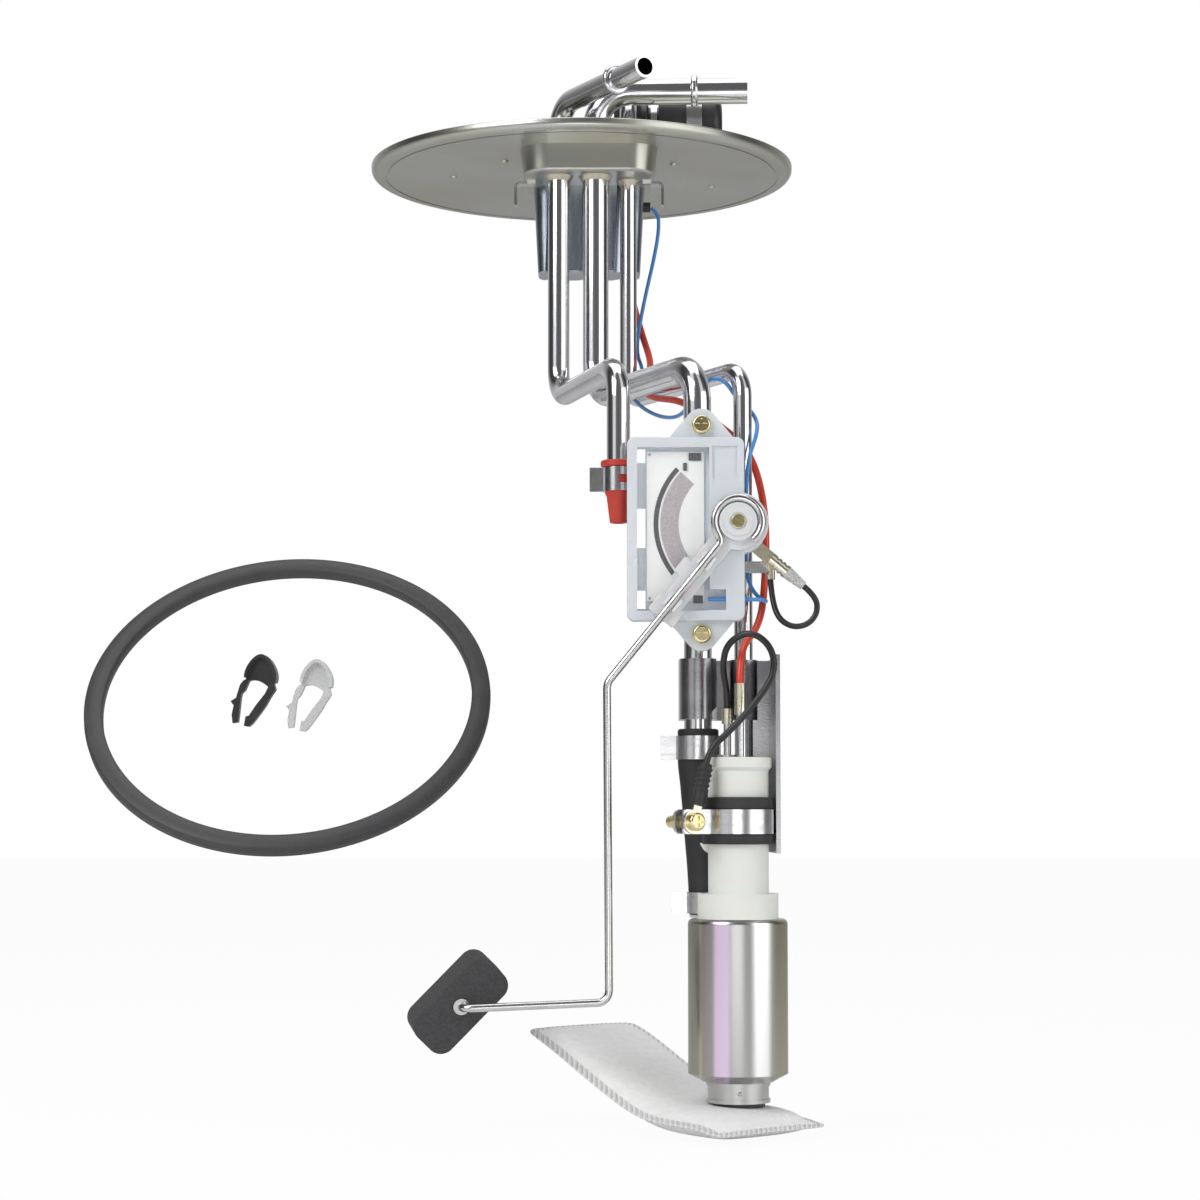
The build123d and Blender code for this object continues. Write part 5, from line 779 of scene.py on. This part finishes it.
@dataclass
class Harness:
    """The module's four leads.

    Attributes:
        red: Route of the feed to the pump.
        blue: Route of the signal lead to the sender.
        ground: Route of the long earth lead.
        jumper: Route of the short earth lead under the sender.
    """

    red: Sequence[Point] = (
        (18.2, -24.5, -44.3), (18.6, -25.3, -50), (23, -26.8, -66), (26.4, -40, -79),
        (24.4, -52, -85.5), (21.8, -60.5, -90.5), (25.2, -71, -96.5), (36.6, -95, -101),
        (48, -107, -111), (59.6, -108.5, -120.6), (64.4, -117.5, -143.5), (63.4, -118.5, -172),
        (60.5, -130, -183.5), (54.5, -144.5, -190.5), (53.4, -148.5, -199.3),
        (53.4, -148.5, -203.3),
    )
    blue: Sequence[Point] = (
        (26.7, -24, -16.7), (28.7, -24, -18.7), (29.6, -24.3, -22), (28.6, -25.5, -32),
        (23.2, -30.6, -56), (20.4, -31.6, -73), (23.5, -39.5, -82), (20.8, -48.5, -88),
        (18.2, -57, -93), (22, -67, -99.5), (29, -80, -105), (35, -95, -107),
        (38.5, -103.5, -103.5), (42, -107.8, -98), (46, -112, -95.4), (50.5, -113, -96.8),
        (54.5, -110.3, -102.5), (61, -110.8, -108.5), (61.6, -117.5, -115), (57, -122.3, -127),
        (57, -122.3, -160), (57.6, -122.3, -167), (59.6, -122.6, -171.2), (62.3, -124.5, -173.8),
        (63.6, -127.8, -174.6), (62.5, -131.15, -174.4), (59.6, -133.25, -174.2),
        (43.4, -133.25, -174.2),
    )
    ground: Sequence[Point] = (
        (41.881, -157.326, -229.979), (42.93, -156.72, -225.13), (50, -156, -219),
        (58.5, -156.5, -209.5), (64.6, -156, -200.5), (63.6, -155.5, -191.5), (56.5, -154, -186),
        (49, -150.5, -190), (47.6, -146, -198), (49.4, -143, -206), (49.4, -143, -211.5),
    )
    jumper: Sequence[Point] = (
        (75.80, -132.2, -169.74), (79.94, -132.2, -173.21), (80.54, -132.2, -178.61),
        (77.24, -132.2, -182.81), (71.84, -131.3, -183.61), (67.1, -129.3, -180.2),
        (65.3, -126.8, -172.5), (65.0, -126.1, -167.0),
    )

    def build(self) -> list[bpy.types.Object]:
        """Build all four leads.

        Returns:
            Their curve objects.
        """
        return [
            Lead("red_feed_wire", "red_lead", 1.25, self.red, RED_WIRE).build(),
            Lead("blue_signal_wire", "blue_lead", 0.7, self.blue, BLUE_WIRE).build(),
            Lead("black_ground_wire", "ground_lead", 1.1, self.ground, BLACK_WIRE).build(),
            Lead("black_jumper_wire", "jumper_lead", 1.0, self.jumper, BLACK_WIRE).build(),
        ]


@dataclass
class Hoses:
    """Outlet hose under the supply tube and the short vent hose on the lid.

    Attributes:
        rings: Outer rings of the outlet hose, from its top, then the bore's back up.
        vent_profile: Radius and place along its axis of each ring of the vent hose.
    """

    rings: Sequence[Ring] = (
        (4.85, 40.4, -123.0, -217.7), (6.5, 40.4, -123.0, -217.65), (6.95, 40.4, -123.0, -218.2),
        (6.95, 40.4, -123.0, -219.6), (6.75, 40.4, -123.0, -221.0), (6.75, 40.4, -123.0, -227.0),
        (6.95, 40.4, -123.0, -228.6), (6.9, 40.5, -123.3, -231.0), (6.75, 40.9, -124.6, -236.0),
        (6.6, 41.4, -126.6, -244.0), (6.5, 42.0, -129.2, -254.0), (6.4, 42.6, -131.4, -263.0),
        (6.35, 42.9, -132.6, -269.0), (6.35, 43.0, -133.0, -271.6), (6.2, 43.0, -133.0, -273.0),
        (6.2, 43.0, -133.0, -277.4), (6.35, 43.0, -133.0, -278.4), (6.35, 43.0, -133.0, -279.3),
        (5.9, 43.0, -133.0, -279.75), (4.6, 43.0, -133.0, -279.7), (4.4, 43.0, -133.0, -272.0),
        (4.4, 42.0, -129.2, -254.0), (4.6, 40.9, -124.6, -236.0), (4.85, 40.4, -123.0, -228.0),
    )
    vent_profile: Sequence[tuple[float, float]] = (
        (3.3, 0.1), (4.9, 0.0), (5.35, 0.5), (5.35, 2.2), (5.15, 3.2), (5.1, 7.1), (5.15, 11.0),
        (5.35, 12.0), (5.35, 13.7), (4.9, 14.2), (3.3, 14.1),
    )

    def build(self) -> None:
        """Build both hoses."""
        outlet = turned([*self.rings, self.rings[0]])
        finish_piece(outlet, "outlet_hose_moulding", HOSE_RUBBER, ["outlet_hose"])
        vent = turned(upright(0, 0, self.vent_profile), sides=64)
        low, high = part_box("vent_hose")
        middle = (low + high) / 2
        turn_to(vent, Vector((middle.x, low.y, middle.z)), Vector((0, 1, 0)))
        finish_piece(vent, "vent_hose_moulding", HOSE_RUBBER, ["vent_hose"])


@dataclass
class Sock:
    """Strainer sock: a felt pillow with a pressed weld round its edge.

    Attributes:
        near: Middle of the near end, along X and Y.
        course: Direction of its length in plan, in degrees.
        width: Its width.
        stations: Place along it, middle height, thickness and share of the width of each section.
        edge: Width of the welded edge.
        edge_thick: Thickness of the welded edge.
        edge_round: How far the edge's rounding reaches in.
        shoulder: Distance in from the weld and share of the thickness of each row of the belly.
        crown: Place of the flat crown's edge, as a share of the half width.
        softness: Levels of subdivision.
    """

    near: tuple[float, float] = (64.15, -161.5)
    course: float = 131.7
    width: float = 50.0
    stations: tuple[tuple[float, float, float, float], ...] = (
        (0.6, -348.4, 1.0, 0.94), (3.0, -348.3, 1.4, 0.99), (6.0, -347.9, 4.6, 1.0),
        (9.0, -347.3, 7.4, 1.0), (13.0, -346.8, 8.8, 1.0), (20.0, -346.5, 9.2, 1.0),
        (28.0, -346.2, 9.3, 1.0), (36.0, -345.7, 9.1, 1.0), (45.0, -343.3, 8.9, 1.0),
        (56.0, -338.4, 8.9, 1.0), (68.0, -332.8, 9.4, 1.0), (78.0, -327.8, 9.2, 1.0),
        (85.0, -324.5, 8.2, 1.0), (90.0, -322.4, 6.2, 1.0), (93.6, -321.0, 2.6, 0.99),
        (97.0, -319.8, 1.0, 0.94),
    )
    edge: float = 3.2
    edge_thick: float = 1.0
    edge_round: float = 0.4
    shoulder: tuple[tuple[float, float], ...] = ((1.2, 0.22), (3.4, 0.38), (7.5, 0.47))
    crown: float = 0.3
    softness: int = 2

    def way(self) -> Vector:
        """Direction of the sock's length.

        Returns:
            A unit vector in plan.
        """
        turn = math.radians(self.course)
        return Vector((math.cos(turn), math.sin(turn), 0))

    def side(self) -> Vector:
        """Direction across the sock.

        Returns:
            A unit vector in plan.
        """
        turn = math.radians(self.course)
        return Vector((-math.sin(turn), math.cos(turn), 0))

    def place(self, along: float, z: float) -> Vector:
        """Point on the sock's middle line.

        Args:
            along: Distance from its near end, in millimetres.
            z: Height, in millimetres.

        Returns:
            The point, in metres.
        """
        return metres((*self.near, z)) + self.way() * along * MM

    def section(self, thick: float, share: float) -> list[Vector]:
        """Points of one section about its middle: flat welded edges and a full belly.

        Args:
            thick: Thickness of the belly, in millimetres.
            share: Share of the full width.

        Returns:
            The points in order round the section, in metres.
        """
        half = self.width / 2 * share
        rim = self.edge_thick / 2
        top = [(-half, rim * 0.6), (-half + self.edge_round, rim), (-half + self.edge, rim)]
        for step, rise in self.shoulder:
            top.append((-half + self.edge + step, max(rim, thick * rise)))
        top.append((-half * self.crown, max(rim, thick / 2)))
        top = top + [(-across, height) for across, height in reversed(top)]
        bottom = [(across, -height) for across, height in reversed(top)]
        up = Vector((0, 0, 1))
        return [(self.side() * across + up * height) * MM for across, height in top + bottom]

    def build(self) -> None:
        """Model the sock as a skin bridged over its sections and subdivided.

        Each section is a circle whose vertices are set to the section's points.
        """
        deselect()
        loops: list[bpy.types.Object] = []
        for along, z, thick, share in self.stations:
            points = self.section(thick, share)
            bpy.ops.mesh.primitive_circle_add(vertices=len(points), fill_type="NOTHING")
            loop = bpy.context.object
            middle = self.place(along, z)
            for vertex, point in zip(loop.data.vertices, points):
                vertex.co = point + middle
            loops.append(loop)
        deselect()
        for loop in loops:
            loop.select_set(True)
        bpy.context.view_layer.objects.active = loops[0]
        bpy.ops.object.join()
        piece = bpy.context.object
        bpy.ops.object.mode_set(mode="EDIT")
        bpy.ops.mesh.select_all(action="SELECT")
        bpy.ops.mesh.bridge_edge_loops()
        bpy.ops.mesh.select_all(action="DESELECT")
        bpy.ops.mesh.select_mode(type="EDGE")
        bpy.ops.mesh.select_non_manifold()
        bpy.ops.mesh.edge_face_add()
        bpy.ops.mesh.select_all(action="SELECT")
        bpy.ops.mesh.normals_make_consistent(inside=False)
        bpy.ops.object.mode_set(mode="OBJECT")
        soften = piece.modifiers.new("soften", "SUBSURF")
        soften.levels = self.softness
        soften.render_levels = self.softness
        bpy.ops.object.modifier_apply(modifier=soften.name)
        finish_piece(piece, "strainer_sock_felt", SOCK_FELT, ["strainer_sock"], angle=60)
        self.weld(piece)

    def weld(self, piece: bpy.types.Object) -> None:
        """Give the pressed border along the sock's sides and ends its serrated finish.

        Args:
            piece: The sock's mesh object.
        """
        piece.data.materials.append(SOCK_WELD.build())
        near = metres((*self.near, 0))
        border = (self.width / 2 - self.edge) * MM
        length = self.stations[-1][0] * MM
        for face in piece.data.polygons:
            offset = face.center - near
            along = offset.dot(self.way())
            on_side = abs(offset.dot(self.side())) > border
            on_end = along < self.edge * MM or along > length - self.edge * MM
            face.material_index = 1 if on_side or on_end else 0


@dataclass
class Rubbers:
    """Small rubber mouldings, the loose lid seal and the braided sleeve.

    Attributes:
        seal_centre: Middle of the loose seal.
        seal_normal: Direction that the seal faces.
        boot_foot: Lower end of the eyelet's boot.
        boot_way: Direction of the boot's axis.
        rib_count: Number of ribs on the boot.
        rib_first: Place of the first rib along the boot.
        rib_pitch: Distance from rib to rib.
        bead: How far the isolator's beads stand out.
        wall: Isolator's wall under the band.
        clearance: Room between the band and the beads.
        valve_bore: Radius of the check valve's bore.
        valve_seat: Radius of its neck under the clamp.
        valve_tip: Radius of its tip.
        braid_end: Lower end of the braided sleeve.
        braid_way: Direction of the braided sleeve.
        braid_length: Its length.
        braid_tip: Its radius at the lower end.
        braid_rings: Number of its strands' crossings along it.
        braid_dip: Share of the radius between the crossings.
        braid_rise: Length of each step out to a crossing.
    """

    seal_centre: Point = (-113.0, 5.0, -202.6)
    seal_normal: Point = (0.0, -0.744, 0.668)
    boot_foot: Point = (38.944, -159.023, -243.556)
    boot_way: Point = (0.2098, 0.1212, 0.9698)
    rib_count: int = 5
    rib_first: float = 4.6
    rib_pitch: float = 1.75
    bead: float = 0.6
    wall: float = 1.3
    clearance: float = 0.1
    valve_bore: float = 4.05
    valve_seat: float = 4.65
    valve_tip: float = 3.0
    braid_end: Point = (75.80, -132.2, -169.74)
    braid_way: Point = (0.766, 0.0, -0.643)
    braid_length: float = 7.5
    braid_tip: float = 1.5
    braid_rings: int = 12
    braid_dip: float = 0.93
    braid_rise: float = 0.25

    def seal(self) -> None:
        """Square-section ring with soft corners and a faint parting bead."""
        profile = (
            (70.75, -2.1), (71.3, -2.6), (77.2, -2.6), (77.8, -2.0), (77.85, -0.35), (77.98, 0.0),
            (77.85, 0.35), (77.8, 2.0), (77.2, 2.6), (71.3, 2.6), (70.75, 2.1), (70.7, 0.0),
        )
        ring = turned(upright(0, 0, profile), sides=192)
        turn_to(ring, metres(self.seal_centre), Vector(self.seal_normal))
        finish_piece(ring, "lid_seal_ring", SEAL_RUBBER, ["seal_ring"], angle=50)

    def boot(self) -> None:
        """Ribbed boot on the eyelet's crimp."""
        profile: list[tuple[float, float]] = [(1.15, 0.1), (2.0, 0.0), (2.1, 0.4), (2.1, 4.2)]
        for rib in range(self.rib_count):
            low = self.rib_first + self.rib_pitch * rib
            profile += [(2.15, low), (2.5, low + 0.25), (2.5, low + 0.85), (2.1, low + 1.1)]
        profile += [(2.0, 13.7), (1.75, 13.95), (1.15, 13.9)]
        boot = turned(upright(0, 0, profile), sides=48)
        turn_to(boot, metres(self.boot_foot), Vector(self.boot_way))
        finish_piece(boot, "eyelet_boot_ribbed", BLACK_RUBBER, ["eyelet_boot"])

    def isolator(self) -> None:
        """Rubber sleeve under the band, with a bead above and below it."""
        low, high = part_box("isolator")
        band_low, band_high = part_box("band_clamp")
        outer = (high.x - low.x) / 2 / MM
        seat = outer - self.bead
        inner = seat - self.wall
        foot, top = low.z / MM, high.z / MM
        under, over = band_low.z / MM - self.clearance, band_high.z / MM + self.clearance
        profile = (
            (inner, foot + 0.3), (inner + 0.3, foot), (outer - 0.35, foot), (outer, foot + 0.35),
            (outer, under - 0.3), (outer - 0.3, under), (seat, under), (seat, over),
            (outer - 0.3, over), (outer, over + 0.3), (outer, top - 0.35), (outer - 0.35, top),
            (inner + 0.3, top), (inner, top - 0.3),
        )
        middle = (low + high) / 2 / MM
        sleeve = turned(upright(middle.x, middle.y, profile))
        finish_piece(sleeve, "rubber_isolator", BLACK_RUBBER, ["isolator"])

    def check_valve(self) -> None:
        """Red duck-bill valve on the foot of the return tube."""
        low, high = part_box("return_check_valve")
        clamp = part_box("check_valve_clamp")[0]
        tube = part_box("return_tube")[0]
        middle = (low + high) / 2 / MM
        foot, top = low.z / MM, high.z / MM
        flange = (high.x - low.x) / 2 / MM
        waist = clamp.z / MM - 0.6
        bore, seat, tip = self.valve_bore, self.valve_seat, self.valve_tip
        profile = (
            (bore, top - 0.1), (bore + 0.2, top), (flange - 0.4, top), (flange, top - 0.4),
            (flange, top - 1.8), (flange - 0.4, top - 2.2), (seat, top - 2.2), (seat, waist),
            (bore, waist - 1.2), (tip, foot + 0.4), (tip - 0.3, foot), (tip - 1.1, foot),
            (seat - 1.8, tube.z / MM - 0.05), (bore, tube.z / MM - 0.05),
        )
        valve = turned(upright(middle.x, middle.y, profile), sides=64)
        finish_piece(valve, "red_duckbill_valve", RED_RUBBER, ["return_check_valve"])

    def braid(self) -> None:
        """Clear braided sleeve from the tab's crimp down to the jumper wire."""
        low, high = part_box("terminal_sleeve")
        wide = (high.y - low.y) / 2 / MM
        profile: list[tuple[float, float]] = [(0.1, 0.0)]
        for step in range(self.braid_rings + 1):
            share = step / self.braid_rings
            radius = wide + (self.braid_tip - wide) * share
            at = self.braid_length * share
            over = min(at + self.braid_rise, self.braid_length)
            profile += [(radius * self.braid_dip, at), (radius, over)]
        profile.append((0.1, self.braid_length))
        sleeve = turned(upright(0, 0, profile), sides=40)
        way = Vector(self.braid_way)
        turn_to(sleeve, metres(self.braid_end) - way.normalized() * self.braid_length * MM, way)
        finish_piece(sleeve, "braided_sleeve", BRAID_CLEAR, ["terminal_sleeve"], angle=80)

    def build(self) -> None:
        """Build every rubber piece and the braided sleeve."""
        self.seal()
        self.boot()
        self.isolator()
        self.check_valve()
        self.braid()


def main() -> None:
    """Build the whole picture, class by class."""
    logging.basicConfig(level=logging.INFO)
    Studio().build()
    Harness().build()
    for sub_assembly in SUB_ASSEMBLIES:
        sub_assembly.dress()
    Hoses().build()
    Sock().build()
    Rubbers().build()
    deselect()


if __name__ == "__main__":
    main()
